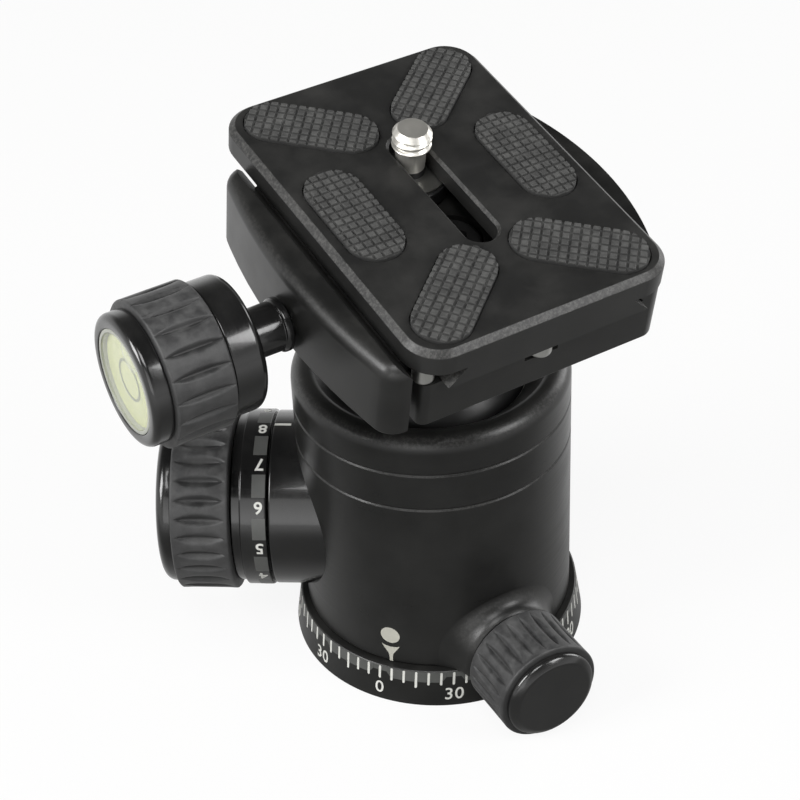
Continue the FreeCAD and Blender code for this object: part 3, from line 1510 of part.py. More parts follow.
ROOT_PIECES = (pan_base, pan_spindle, pan_bearing, thrust_washer, spindle_nut)
HOUSING_PIECES = (housing, housing_floor, ball_seat_ring, lower_ball_cup, cup_spring, brake_wedge)
MAIN_KNOB_PIECES = (
    barrel_sleeve, disc_springs, friction_dial, main_knob_hub, main_knob_grip, main_knob_cap, lock_screw,
    main_knob_screw,
)
PAN_KNOB_PIECES = (pan_boss_collar, pan_knob_hub, pan_knob_grip, pan_knob_cap, pan_lock_screw, pan_brake_plug)
UPPER_PIECES = (ball_and_stem, clamp_washer, clamp_bolt, clamp_body, clamp_jaw, guide_pins, clamp_springs)
CLAMP_KNOB_PIECES = (
    clamp_knob_hub, clamp_knob_grip, clamp_knob_cap, clamp_lead_screw, lead_screw_clip, level_vial,
    level_fluid, level_bubble, level_lens,
)
PLATE_PIECES = (quick_release_plate, rubber_pads, stop_screws)
CAMERA_SCREW_PIECES = (screw_clip, camera_screw)

for makers, frame in (
    (ROOT_PIECES, UPRIGHT),
    (HOUSING_PIECES, UPRIGHT),
    (MAIN_KNOB_PIECES, MAIN_FRAME),
    (PAN_KNOB_PIECES, PAN_FRAME),
    (UPPER_PIECES, UPPER),
    (CLAMP_KNOB_PIECES, KNOB_FRAME),
    (PLATE_PIECES, PLATE_FRAME),
    (CAMERA_SCREW_PIECES, PLATE_FRAME * moved(y=d.camera_screw_place)),
):
    for maker in makers:
        keep(maker.__name__, maker(), frame)

check_document()
write_parts()
for piece in pieces:
    print(piece.Label, len(piece.Shape.Solids), round(piece.Shape.Volume, 1))
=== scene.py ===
import json
import math

import bmesh
import bpy
from mathutils import Matrix, Vector


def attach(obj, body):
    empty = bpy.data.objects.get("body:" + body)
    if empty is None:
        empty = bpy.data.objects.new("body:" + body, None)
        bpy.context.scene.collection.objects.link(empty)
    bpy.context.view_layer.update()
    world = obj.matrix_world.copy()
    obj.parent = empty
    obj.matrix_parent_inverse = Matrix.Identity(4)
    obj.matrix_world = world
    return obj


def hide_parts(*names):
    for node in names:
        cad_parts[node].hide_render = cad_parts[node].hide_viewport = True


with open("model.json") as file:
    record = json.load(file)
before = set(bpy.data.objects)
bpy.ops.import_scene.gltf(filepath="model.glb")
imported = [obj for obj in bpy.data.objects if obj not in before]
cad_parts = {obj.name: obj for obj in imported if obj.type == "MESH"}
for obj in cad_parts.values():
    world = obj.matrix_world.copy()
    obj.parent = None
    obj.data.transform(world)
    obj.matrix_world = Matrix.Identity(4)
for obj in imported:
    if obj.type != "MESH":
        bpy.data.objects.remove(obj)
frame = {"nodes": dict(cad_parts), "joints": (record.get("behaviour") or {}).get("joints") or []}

# Tripod ball head, drawn in millimetres in the CAD's own frames and written to meshes in metres.
# A knob's frame has x sideways, y up and z outwards along its axis; the upper frame sits at the
# ball's centre with x along the clamp knob's axis, y along the plate and z along the stem.

MM = 0.001
PER_METRE = 1000.0
UP = Vector((0, 0, 1))
TINY = 1e-6  # below this two heights are one
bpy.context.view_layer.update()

joints = {joint["name"]: joint for joint in frame["joints"]}


def axis_of(joint):
    """A joint's axis."""
    return Vector(joints[joint]["axis"]).normalized()


def place_of(joint):
    """A joint's place in millimetres."""
    return Vector(joints[joint]["pos_m"]) / MM


def placed(x_axis, y_axis, z_axis, origin):
    """A frame from its three axes and its origin."""
    turn = Matrix((x_axis, y_axis, z_axis)).transposed().to_4x4()
    return Matrix.Translation(origin) @ turn


def knob_frame(joint):
    """The frame of a knob on the housing, from its joint, which points inwards."""
    outwards = -axis_of(joint)
    height = place_of(joint).z
    return placed(UP.cross(outwards), UP, outwards, Vector((0, 0, height)))


BASE = Matrix.Identity(4)
BALL_HEIGHT = place_of("ball_tilt").z
STEM = axis_of("ball_spin")
ACROSS = axis_of("ball_tilt")
UPPER = placed(ACROSS, STEM.cross(ACROSS), STEM, place_of("ball_tilt"))
MAIN = knob_frame("main_knob_turn")
PAN = knob_frame("pan_knob_turn")
CLAMP_AXIS = (UPPER.inverted() @ place_of("clamp_knob_turn")).z
KNOB = UPPER @ placed(Vector((0, -1, 0)), UP, Vector((-1, 0, 0)), Vector((0, 0, CLAMP_AXIS)))


def corners_of(node, place):
    """A CAD node's lowest and highest corner in a frame, in millimetres."""
    back = place.inverted()
    points = [back @ (vertex.co / MM) for vertex in frame["nodes"][node].data.vertices]
    low = Vector([min(point[side] for point in points) for side in range(3)])
    high = Vector([max(point[side] for point in points) for side in range(3)])
    return low, high


# ---- meshes ----


def finished(bm, name, place, body, material, stands_for=(), sharp=32.0, weighted=True):
    """Write a bmesh drawn in a frame to a piece that rides on a body."""
    bmesh.ops.recalc_face_normals(bm, faces=bm.faces)
    bm.transform(Matrix.Scale(MM, 4) @ place)
    mesh = bpy.data.meshes.new(name)
    bm.to_mesh(mesh)
    bm.free()
    mesh.shade_smooth()
    mesh.set_sharp_from_angle(angle=math.radians(sharp))
    item = bpy.data.objects.new(name, mesh)
    bpy.context.scene.collection.objects.link(item)
    mesh.materials.append(material)
    if weighted:
        normals = item.modifiers.new("even_normals", "WEIGHTED_NORMAL")
        normals.keep_sharp = True
        normals.weight = 80
    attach(item, body)
    if stands_for:
        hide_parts(*stands_for)
    return item


def outline_face(points):
    """A bmesh with one face through points of two or three numbers, and its corners."""
    bm = bmesh.new()
    corners = [bm.verts.new(Vector(point).to_3d()) for point in points]
    bm.faces.new(corners)
    return bm, corners


def flat_shape(points):
    """A flat mesh from an outline."""
    return outline_face(points)[0]


def bevelled(bm, geometry, amount, segments, affect, clamp=True):
    """Bevel corners or edges, in round steps."""
    bmesh.ops.bevel(
        bm, geom=geometry, offset=amount, offset_type="OFFSET", segments=segments, profile=0.5,
        affect=affect, clamp_overlap=clamp, material=-1,
    )


def rounded(bm, corners, amount, segments=4):
    """Round corners of a flat face."""
    bevelled(bm, corners, amount, segments, "VERTICES")


def soften(bm, lines, amount, segments=3, clamp=True):
    """Round edges of a solid."""
    bevelled(bm, lines, amount, segments, "EDGES", clamp)


def drawn_out(bm, way):
    """Draw a flat face out along a way into a solid."""
    drawn = bmesh.ops.extrude_face_region(bm, geom=bm.faces[:])
    moved = [part for part in drawn["geom"] if isinstance(part, bmesh.types.BMVert)]
    bmesh.ops.translate(bm, verts=moved, vec=way)
    return bm


def level_lines(bm, height):
    """The edges that lie at a height."""
    return [line for line in bm.edges if all(abs(end.co.z - height) < TINY for end in line.verts)]


def turned(outline, rounds=None, edge=0.15, steps=144):
    """A closed shape turned about z from an outline of radii and heights.

    rounds gives corners that are rounded more than the small edge that every corner has."""
    rounds = rounds or {}
    bm, corners = outline_face([(radius, 0, height) for radius, height in outline])
    groups = {}
    for index, corner in enumerate(corners):
        if corner.co.x > TINY:
            groups.setdefault(rounds.get(index, edge), []).append(corner)
    for amount in sorted(groups):
        if amount > 0:
            rounded(bm, groups[amount], amount, 3 if amount < 0.5 else 7)
    bmesh.ops.delete(bm, geom=bm.faces[:], context="FACES_ONLY")
    on_axis = [line for line in bm.edges if all(end.co.x < TINY for end in line.verts)]
    bmesh.ops.delete(bm, geom=on_axis, context="EDGES")
    bmesh.ops.spin(
        bm, geom=bm.verts[:] + bm.edges[:], cent=(0, 0, 0), axis=(0, 0, 1), dvec=(0, 0, 0),
        angle=math.tau, steps=steps, use_merge=True, use_duplicate=False,
    )
    bmesh.ops.remove_doubles(bm, verts=bm.verts, dist=1e-4)
    bmesh.ops.dissolve_degenerate(bm, dist=1e-5, edges=bm.edges)
    return bm


def raised(points, low, high):
    """A prism over an outline."""
    bm = flat_shape([(x, y, low) for x, y in points])
    return drawn_out(bm, (0, 0, high - low))


def added(bm, other, place=None):
    """Put another bmesh's parts into this one."""
    mesh = bpy.data.meshes.new("part")
    if place is not None:
        other.transform(place)
    bmesh.ops.recalc_face_normals(other, faces=other.faces)
    other.to_mesh(mesh)
    other.free()
    bm.from_mesh(mesh)
    bpy.data.meshes.remove(mesh)
    return bm


def combined(bm, tools, operation="DIFFERENCE"):
    """Cut tools out of a solid, or join or share them."""
    def scratch(shape, name):
        bmesh.ops.recalc_face_normals(shape, faces=shape.faces)
        mesh = bpy.data.meshes.new(name)
        shape.to_mesh(mesh)
        shape.free()
        item = bpy.data.objects.new(name, mesh)
        bpy.context.scene.collection.objects.link(item)
        return item
    item = scratch(bm, "solid")
    for tool in tools:
        other = scratch(tool, "tool")
        change = item.modifiers.new("change", "BOOLEAN")
        change.operation = operation
        change.solver = "EXACT"
        change.object = other
        bpy.context.view_layer.update()
        graph = bpy.context.evaluated_depsgraph_get()
        mesh = bpy.data.meshes.new_from_object(item.evaluated_get(graph))
        item.modifiers.clear()
        item.data = mesh
        bpy.data.objects.remove(other)
    result = bmesh.new()
    result.from_mesh(item.data)
    bpy.data.objects.remove(item)
    return result


def arc_points(centre, radius, start, end, count):
    """Points on an arc, angles in degrees."""
    angles = [math.radians(start + (end - start) * index / count) for index in range(count + 1)]
    return [(centre[0] + radius * math.cos(a), centre[1] + radius * math.sin(a)) for a in angles]


def stadium(length, width, steps=16):
    """The outline of a straight slot with round ends, long side along x."""
    run = (length - width) / 2
    return arc_points((run, 0), width / 2, -90, 90, steps) + arc_points((-run, 0), width / 2, 90, 270, steps)


def flared(outline, low, high, flare, depth):
    """A prism over a convex outline whose top opens out like a chamfer."""
    bm = bmesh.new()
    bottom = [bm.verts.new((x, y, low)) for x, y in outline]
    bm.faces.new(bottom)
    edge = bm.edges[:]
    for grow, height in ((0.0, high - depth), (flare, high), (flare, high + depth)):
        drawn = bmesh.ops.extrude_edge_only(bm, edges=edge)["geom"]
        ring = [part for part in drawn if isinstance(part, bmesh.types.BMVert)]
        edge = [part for part in drawn if isinstance(part, bmesh.types.BMEdge)]
        for point in ring:
            point.co.z = height
            if grow and abs(height - high) < TINY:
                spread = point.co.xy
                core = Vector((math.copysign(max(abs(spread.x) - 1.0, 0.0), spread.x), 0.0))
                away = (spread - core).normalized()
                point.co.xy = spread + away * grow
    bmesh.ops.holes_fill(bm, edges=bm.edges)
    return bm


def rod(radius, low, high, steps=64, place=None):
    """A plain cylinder along z, used as a cutter."""
    bm = bmesh.new()
    bmesh.ops.create_cone(
        bm, cap_ends=True, segments=steps, radius1=radius, radius2=radius, depth=high - low,
        matrix=Matrix.Translation((0, 0, (low + high) / 2)),
    )
    if place is not None:
        bm.transform(place)
    return bm


def brick(low, high, place=None):
    """A plain box, used as a cutter."""
    bm = bmesh.new()
    bmesh.ops.create_cube(bm, size=1.0)
    for point in bm.verts:
        for side in range(3):
            point.co[side] = high[side] if point.co[side] > 0 else low[side]
    if place is not None:
        bm.transform(place)
    return bm


def along_x(z):
    """A frame whose z runs along x of its parent, at a height."""
    return Matrix.Translation((0, 0, z)) @ Matrix.Rotation(math.radians(90), 4, "Y")


def smooth_step(value):
    """0 to 1 with soft ends."""
    value = min(max(value, 0.0), 1.0)
    return value * value * (3 - 2 * value)


def threaded(bm, radius, pitch, depth, low, high, run_out=0.6):
    """Press a screw thread into the round wall of a given radius between two heights."""
    for point in bm.verts:
        if abs(point.co.xy.length - radius) > 1e-3 or not low <= point.co.z <= high:
            continue
        turn = math.atan2(point.co.y, point.co.x) / math.tau
        phase = (point.co.z / pitch - turn) % 1.0
        tooth = min(1.0, max(0.0, abs(phase * 2 - 1) * 1.5 - 0.25))
        fade = smooth_step((point.co.z - low) / run_out) * smooth_step((high - point.co.z) / run_out)
        point.co.xy *= (radius - depth * tooth * fade) / radius
    return bm


def rows(radius, low, high, step):
    """Points up a straight wall, close enough for a thread or ribs."""
    count = max(1, round((high - low) / step))
    return [(radius, low + (high - low) * index / count) for index in range(count + 1)]


def ribbed(inner, outer, low, high, ribs, groove, depth, margin, crown=0.0, per_rib=18):
    """A rubber ring with lens-shaped grooves between its ribs, widest and deepest at mid-width."""
    wall = rows(outer, low + 0.4, high - 0.4, 0.25)
    outline = [(inner, low), (outer - 0.25, low), (outer, low + 0.25)] + wall
    outline += [(outer, high - 0.25), (outer - 0.25, high), (inner, high)]
    bm = turned(outline, edge=0.0, steps=ribs * per_rib)
    pitch = math.tau * outer / ribs
    middle = (low + high) / 2
    reach = (high - low) / 2 - margin
    for point in bm.verts:
        radius = point.co.xy.length
        along = abs(point.co.z - middle) / reach
        if radius < outer - 0.3 or along >= 1:
            continue
        turn = math.atan2(point.co.y, point.co.x) / math.tau * ribs
        away = abs(turn - round(turn)) * pitch
        bow = 1 - along ** 2.5
        share = away / (groove / 2 * bow)
        cut = (1 + math.cos(math.pi * share)) / 2 if share < 1 else 0.0
        lobe = (1 - math.cos(math.tau * away / pitch)) / 2
        drop = depth * cut * bow ** 0.5 + crown * (1 - lobe) * bow
        point.co.xy *= (radius - drop) / radius
    return bm


def coil(bm, radius, wire, low, high, turns, steps=40, sides=10, place=None):
    """A helical wire about z with flat-lying ends."""
    rings = []
    count = int(turns * steps)
    for index in range(count + 1):
        angle = math.tau * index / steps
        share = smooth_step(index / count) * 0.4 + index / count * 0.6
        height = low + wire + (high - low - 2 * wire) * share
        out = Vector((math.cos(angle), math.sin(angle), 0))
        centre = out * radius + Vector((0, 0, height))
        ring = []
        for side in range(sides):
            turn = math.tau * side / sides
            ring.append(bm.verts.new(centre + out * (wire * math.cos(turn)) + UP * (wire * math.sin(turn))))
        rings.append(ring)
    for first, second in zip(rings, rings[1:]):
        for side in range(sides):
            other = (side + 1) % sides
            bm.faces.new((first[side], first[other], second[other], second[side]))
    bm.faces.new(rings[0])
    bm.faces.new(rings[-1])
    if place is not None:
        bmesh.ops.transform(bm, matrix=place, verts=[point for ring in rings for point in ring])
    return bm


# ---- marks: flat shapes laid on a round wall ----


def flat_text(text, height, bold):
    """A number as a flat mesh about the origin, reading along x."""
    curve = bpy.data.curves.new("number", "FONT")
    curve.body = text
    curve.size = height / 0.70
    curve.offset = bold
    curve.align_x = "CENTER"
    curve.align_y = "CENTER"
    curve.resolution_u = 5
    curve.space_character = 1.08
    item = bpy.data.objects.new("number", curve)
    bpy.context.scene.collection.objects.link(item)
    bpy.context.view_layer.update()
    graph = bpy.context.evaluated_depsgraph_get()
    mesh = bpy.data.meshes.new_from_object(item.evaluated_get(graph))
    bm = bmesh.new()
    bm.from_mesh(mesh)
    bmesh.ops.remove_doubles(bm, verts=bm.verts, dist=1e-4)
    bpy.data.objects.remove(item)
    bpy.data.meshes.remove(mesh)
    low = min(point.co.y for point in bm.verts)
    high = max(point.co.y for point in bm.verts)
    left = min(point.co.x for point in bm.verts)
    right = max(point.co.x for point in bm.verts)
    bmesh.ops.translate(bm, verts=bm.verts, vec=(-(left + right) / 2, -(low + high) / 2, 0))
    bmesh.ops.scale(bm, verts=bm.verts, vec=(1, height / (high - low), 1))
    return bm


def printed(shapes, wall, step=0.45, thickness=0.03):
    """Flat shapes, each with its place along the wall, wrapped on the wall as thin print.

    wall(x, y, lift) gives the point for a distance round the wall and a height."""
    whole = bmesh.new()
    for shape, x, y in shapes:
        for side, normal in ((0, (1, 0, 0)), (1, (0, 1, 0))):
            low = min(point.co[side] for point in shape.verts)
            high = max(point.co[side] for point in shape.verts)
            for index in range(1, int((high - low) / step) + 1):
                spot = Vector((0, 0, 0))
                spot[side] = low + index * step
                geometry = shape.verts[:] + shape.edges[:] + shape.faces[:]
                bmesh.ops.bisect_plane(shape, geom=geometry, dist=1e-5, plane_co=spot, plane_no=normal)
        drawn = bmesh.ops.extrude_face_region(shape, geom=shape.faces[:])
        tops = {part for part in drawn["geom"] if isinstance(part, bmesh.types.BMVert)}
        for point in shape.verts:
            lift = thickness if point in tops else -0.05
            point.co = wall(point.co.x + x, point.co.y + y, lift)
        added(whole, shape)
    return whole


def round_wall(radius_at, start=0.0):
    """A wall round z: x runs round it in millimetres from a start angle, y runs up."""
    def wall(x, y, lift):
        radius = radius_at(y)
        angle = start + x / radius
        out = radius + lift
        return Vector((out * math.cos(angle), out * math.sin(angle), y))
    return wall


def dial_wall(radius, start):
    """A wall round z whose marks read along z: x runs up z, y runs back round the wall."""
    def wall(x, y, lift):
        angle = start - y / radius
        out = radius + lift
        return Vector((out * math.cos(angle), out * math.sin(angle), x))
    return wall


# ---- materials ----


NUMBER, PLACE = "NodeSocketFloat", "NodeSocketVector"


class Graph:
    """A node tree that is written as nested calls."""

    def __init__(self, tree):
        self.tree = tree

    def add(self, kind, settings=None, **inputs):
        """Add a node, set its properties, and set or link its inputs by name or index."""
        node = self.tree.nodes.new(kind)
        for key, value in (settings or {}).items():
            setattr(node, key, value)
        for key, value in inputs.items():
            self.put(node, key.replace("_", " "), value)
        return node

    def put(self, node, key, value):
        """Set or link one input."""
        socket = node.inputs[key]
        if isinstance(value, bpy.types.NodeSocket):
            self.tree.links.new(value, socket)
        else:
            socket.default_value = value

    def math(self, operation, first, second=0.0, third=0.0):
        """A calculation on numbers."""
        node = self.add("ShaderNodeMath", {"operation": operation})
        for index, value in enumerate((first, second, third)):
            self.put(node, index, value)
        return node.outputs[0]

    def span(self, value, from_low, from_high, to_low, to_high):
        """Map a number from one span to another, held at the ends."""
        node = self.add("ShaderNodeMapRange", {"clamp": True})
        for index, number in enumerate((value, from_low, from_high, to_low, to_high)):
            self.put(node, index, number)
        return node.outputs[0]

    def mix(self, share, first, second):
        """Mix two colours."""
        node = self.add("ShaderNodeMix", {"data_type": "RGBA"})
        self.put(node, 0, share)
        self.put(node, 6, first)
        self.put(node, 7, second)
        return node.outputs[2]

    def vector(self, operation, first, second=None):
        """A calculation on vectors."""
        node = self.add("ShaderNodeVectorMath", {"operation": operation})
        self.put(node, 0, first)
        if second is not None:
            self.put(node, 1, second)
        return node.outputs["Value" if operation in ("LENGTH", "DOT_PRODUCT") else "Vector"]

    def part(self, tree, **inputs):
        """Add a node group with its inputs."""
        return self.add("ShaderNodeGroup", {"node_tree": tree}, **inputs)

    def object_place(self):
        """The spot on the object that is shaded."""
        return self.add("ShaderNodeTexCoord").outputs["Object"]

    def noise(self, place, scale, detail=3.0, roughness=0.55):
        """A noise value."""
        node = self.add("ShaderNodeTexNoise", Scale=scale, Detail=detail, Roughness=roughness)
        self.put(node, "Vector", place)
        return node.outputs["Fac"]


def group(name, inputs, outputs):
    """An empty node group with named inputs and outputs."""
    tree = bpy.data.node_groups.new(name, "ShaderNodeTree")
    for label, kind, default in inputs:
        socket = tree.interface.new_socket(name=label, in_out="INPUT", socket_type=kind)
        socket.default_value = default
    for label, kind in outputs:
        tree.interface.new_socket(name=label, in_out="OUTPUT", socket_type=kind)
    graph = Graph(tree)
    entry = tree.nodes.new("NodeGroupInput")
    leave = tree.nodes.new("NodeGroupOutput")
    return graph, entry.outputs, leave


def make_grain():
    """Fine blasted grain, slow clouds and small specks, at sizes given in millimetres."""
    graph, given, leave = group(
        "Surface grain",
        [("Grain size", NUMBER, 0.15), ("Cloud size", NUMBER, 9.0)],
        [("Grain", NUMBER), ("Clouds", NUMBER), ("Specks", NUMBER)],
    )
    place = graph.object_place()
    fine = graph.noise(place, graph.math("DIVIDE", PER_METRE, given["Grain size"]), 2.0)
    slow = graph.noise(place, graph.math("DIVIDE", PER_METRE, given["Cloud size"]), 4.0, 0.6)
    cells = graph.add("ShaderNodeTexVoronoi", {"feature": "F1"}, Scale=900.0, Vector=place)
    near = graph.span(cells.outputs["Distance"], 0.03, 0.12, 1.0, 0.0)
    rare = graph.span(graph.noise(place, 210.0, 2.0), 0.60, 0.72, 0.0, 1.0)
    graph.put(leave, "Grain", fine)
    graph.put(leave, "Clouds", slow)
    graph.put(leave, "Specks", graph.math("MULTIPLY", near, rare))
    return graph.tree


def along_and_from(graph, given):
    """A spot's height along an axis and its distance from it, in millimetres."""
    away = graph.vector("SUBTRACT", graph.object_place(), given["Centre"])
    height = graph.vector("DOT_PRODUCT", away, given["Axis"])
    radius = graph.vector("LENGTH", graph.vector("CROSS_PRODUCT", away, given["Axis"]))
    return [graph.math("MULTIPLY", value, PER_METRE) for value in (height, radius)]


def make_lines():
    """Fine rings that a lathe leaves round an axis."""
    graph, given, leave = group(
        "Lathe lines",
        [
            ("Centre", PLACE, (0.0, 0.0, 0.0)),
            ("Axis", PLACE, (0.0, 0.0, 1.0)),
            ("Pitch", NUMBER, 0.12),
        ],
        [("Lines", NUMBER), ("Sweep", NUMBER)],
    )
    along, radius = along_and_from(graph, given)
    both = graph.add("ShaderNodeCombineXYZ")
    graph.put(both, 0, along)
    graph.put(both, 1, radius)
    lines = graph.noise(both.outputs[0], graph.math("DIVIDE", 0.5, given["Pitch"]), 2.0)
    sweep = graph.noise(both.outputs[0], 0.35, 2.0)
    graph.put(leave, "Lines", lines)
    graph.put(leave, "Sweep", sweep)
    return graph.tree


def make_dust():
    """Dust that settles on faces that look up, in soft patches."""
    graph, given, leave = group(
        "Settled dust",
        [("Amount", NUMBER, 0.2), ("Clouds", NUMBER, 0.5), ("Specks", NUMBER, 0.0)],
        [("Dust", NUMBER)],
    )
    normal = graph.add("ShaderNodeNewGeometry").outputs["Normal"]
    split = graph.add("ShaderNodeSeparateXYZ")
    graph.put(split, 0, normal)
    up = graph.span(split.outputs["Z"], 0.2, 1.0, 0.15, 1.0)
    patch = graph.span(given["Clouds"], 0.42, 0.72, 0.0, 1.0)
    loose = graph.math("MULTIPLY", graph.math("MULTIPLY", up, patch), given["Amount"])
    specks = graph.math("MULTIPLY", given["Specks"], given["Amount"])
    graph.put(leave, "Dust", graph.math("ADD", loose, graph.math("MULTIPLY", specks, up)))
    return graph.tree


def make_wear():
    """Pale patches on edges that lean half-way from an axis: partly worn paint, partly a painted highlight
    along chamfers and rounds.
    """
    graph, given, leave = group(
        "Edge rub and painted highlight",
        [("Axis", PLACE, (0.0, 0.0, 1.0)), ("Amount", NUMBER, 0.5)],
        [("Rub and highlight", NUMBER)],
    )
    coordinates = graph.add("ShaderNodeTexCoord")
    cosine = graph.vector("DOT_PRODUCT", coordinates.outputs["Normal"], given["Axis"])
    leaning = graph.math(
        "MULTIPLY", graph.span(cosine, 0.30, 0.55, 0.0, 1.0), graph.span(cosine, 0.82, 0.96, 1.0, 0.0)
    )
    patches = graph.span(graph.noise(coordinates.outputs["Object"], 1800.0, 5.0, 0.75), 0.44, 0.64, 0.05, 1.0)
    rub_and_highlight_mask = graph.math("MULTIPLY", leaning, patches)
    graph.put(leave, "Rub and highlight", graph.math("MULTIPLY", rub_and_highlight_mask, given["Amount"]))
    return graph.tree


def make_height():
    """How raised a spot is, by its distance from an axis and by its height along it: the mask that paints
    shade into hollows.
    """
    graph, given, leave = group(
        "Hollow shade mask",
        [
            ("Centre", PLACE, (0.0, 0.0, 0.0)), ("Axis", PLACE, (0.0, 0.0, 1.0)),
            ("Low", NUMBER, 0.0), ("High", NUMBER, 1.0),
        ],
        [("From axis", NUMBER), ("Along axis", NUMBER)],
    )
    along, radius = along_and_from(graph, given)
    for label, value in (("From axis", radius), ("Along axis", along)):
        graph.put(leave, label, graph.span(value, given["Low"], given["High"], 0.0, 1.0))
    return graph.tree


GRAIN = make_grain()
LINES = make_lines()
DUST = make_dust()
RUB_AND_HIGHLIGHT = make_wear()
HOLLOW_SHADE = make_height()


def lathe_of(place):
    """A frame's centre and axis, for lathe lines."""
    return place.to_translation() * MM, place.to_3x3() @ UP


def opaque(colour, share=1.0):
    """A colour with its channels scaled, ready for a socket."""
    return tuple(min(1.0, channel * share) for channel in colour[:3]) + (1.0,)


def new_material(name):
    """A material with one plain shader: the material, its graph and the shader."""
    material = bpy.data.materials.new(name)
    material.use_nodes = True
    tree = material.node_tree
    tree.nodes.clear()
    graph = Graph(tree)
    output = graph.add("ShaderNodeOutputMaterial")
    shader = graph.add("ShaderNodeBsdfPrincipled")
    tree.links.new(shader.outputs[0], output.inputs[0])
    return material, graph, shader


def finish(
    name, colour, rough, spread=0.08, lift=1.35, grain=0.15, cloud=9.0, bump=0.1, depth=0.02,
    metal=0.0, coat=0.0, coat_rough=0.06, dust=0.0, dust_colour=(0.30, 0.29, 0.27, 1.0),
    lathe=None, lathe_pitch=0.12, lathe_bump=0.0, specular=0.5, sheen=0.0, rub_and_highlight=None, hollow_shade=None,
):
    """A procedural surface: clouded colour and roughness, fine grain, and where asked lathe lines,
    dust, pale leaning edges that are partly worn paint and partly a painted highlight
    (rub_and_highlight: axis and amount) and painted shade in the hollows (hollow_shade: centre,
    axis, low, high, output and the hollows' share of the colour)."""
    material, graph, shader = new_material(name)
    skin = graph.part(GRAIN, Grain_size=grain, Cloud_size=cloud)
    clouds = skin.outputs["Clouds"]
    fine = skin.outputs["Grain"]
    shade = graph.span(clouds, 0.3, 0.7, 0.0, 1.0)
    share = graph.math("MULTIPLY_ADD", fine, 0.35, graph.math("MULTIPLY", shade, 0.65))
    mixed = graph.mix(share, opaque(colour, 1 / lift), opaque(colour, lift))
    roughness = graph.span(clouds, 0.3, 0.7, rough - spread / 2, rough + spread / 2)
    height = fine
    if lathe is not None:
        centre, axis = lathe
        rings = graph.part(LINES, Centre=tuple(centre), Axis=tuple(axis), Pitch=lathe_pitch)
        height = graph.math("MULTIPLY_ADD", rings.outputs["Lines"], lathe_bump, fine)
        roughness = graph.math(
            "ADD", roughness, graph.span(rings.outputs["Lines"], 0.3, 0.7, -spread * 0.4, spread * 0.4)
        )
    if hollow_shade:
        centre, axis, low, high, output_name, hollow_shade_share = hollow_shade
        hollow_shade_mask = graph.part(HOLLOW_SHADE, Centre=tuple(centre), Axis=tuple(axis), Low=low, High=high)
        # Painted shade: the lower a spot lies in the mask, the darker its colour.
        mixed = graph.mix(hollow_shade_mask.outputs[output_name], opaque(colour, hollow_shade_share), mixed)
    if rub_and_highlight:
        axis, amount = rub_and_highlight
        rub_and_highlight_mask = graph.part(RUB_AND_HIGHLIGHT, Axis=tuple(axis), Amount=amount)
        # Pale colour on leaning edges: partly worn paint, partly a painted highlight.
        mixed = graph.mix(rub_and_highlight_mask.outputs["Rub and highlight"], mixed, (0.24, 0.235, 0.225, 1.0))
    if dust:
        settled = graph.part(DUST, Amount=dust, Clouds=clouds, Specks=skin.outputs["Specks"])
        mask = graph.math("MINIMUM", settled.outputs["Dust"], 1.0)
        mixed = graph.mix(mask, mixed, dust_colour)
        roughness = graph.math("MULTIPLY_ADD", mask, 0.3, roughness)
    graph.put(shader, "Base Color", mixed)
    graph.put(shader, "Roughness", graph.math("MINIMUM", graph.math("MAXIMUM", roughness, 0.02), 1.0))
    shader.inputs["Metallic"].default_value = metal
    shader.inputs["Specular IOR Level"].default_value = specular
    shader.inputs["Coat Weight"].default_value = coat
    shader.inputs["Coat Roughness"].default_value = coat_rough
    shader.inputs["Sheen Weight"].default_value = sheen
    if bump:
        relief = graph.add("ShaderNodeBump")
        relief.inputs["Strength"].default_value = bump
        relief.inputs["Distance"].default_value = depth * MM
        graph.put(relief, "Height", height)
        graph.put(shader, "Normal", relief.outputs[0])
    return material


BLACK = (0.0115, 0.0115, 0.011)
GLOSS = (0.008, 0.008, 0.008)
RUBBER = (0.034, 0.034, 0.0345)
satin = finish(
    "satin_black", BLACK, 0.36, 0.08, grain=0.12, bump=0.22, depth=0.02, dust=0.04, specular=0.42,
    rub_and_highlight=(STEM, 0.08),
)
satin_turned = finish(
    "satin_black_turned", BLACK, 0.33, 0.08, grain=0.12, bump=0.20, depth=0.02, dust=0.03, specular=0.40,
    rub_and_highlight=(UP, 0.14),
    lathe=lathe_of(BASE), lathe_pitch=0.16, lathe_bump=0.5,
)
ball_black = finish(
    "ball_black", (0.013, 0.013, 0.013), 0.34, 0.06, grain=0.10, bump=0.12, depth=0.015, dust=0.05,
    lathe=lathe_of(UPPER), lathe_pitch=0.2, lathe_bump=0.5,
)
plate_black = finish(
    "plate_black", (0.0135, 0.0135, 0.013), 0.44, 0.06, grain=0.10, bump=0.25, depth=0.018, dust=0.04,
    rub_and_highlight=(STEM, 0.27),
)


def gloss_for(name, place):
    """The glossy black of a turned knob part, its lathe lines round its own axis."""
    return finish(
        name, GLOSS, 0.20, 0.06, grain=0.2, bump=0.05, depth=0.01, coat=0.35, dust=0.03,
        lathe=lathe_of(place), lathe_pitch=0.14, lathe_bump=1.2,
    )


gloss_main = gloss_for("gloss_black_main", MAIN)
gloss_pan = gloss_for("gloss_black_pan", PAN)
gloss_clamp = gloss_for("gloss_black_clamp", KNOB)


def rubber_for(name, place, outer, hollow_depth):
    """The rubber of a ribbed grip, with painted shade that darkens its grooves below its ribs."""
    centre, axis = lathe_of(place)
    return finish(
        name, RUBBER, 0.50, 0.16, lift=1.5, grain=0.35, cloud=2.2, bump=0.45, depth=0.04, dust=0.22,
        dust_colour=(0.22, 0.22, 0.215, 1.0), specular=0.5, sheen=0.08,
        hollow_shade=(centre, axis, outer - hollow_depth, outer - 0.05, "From axis", 0.45),
    )


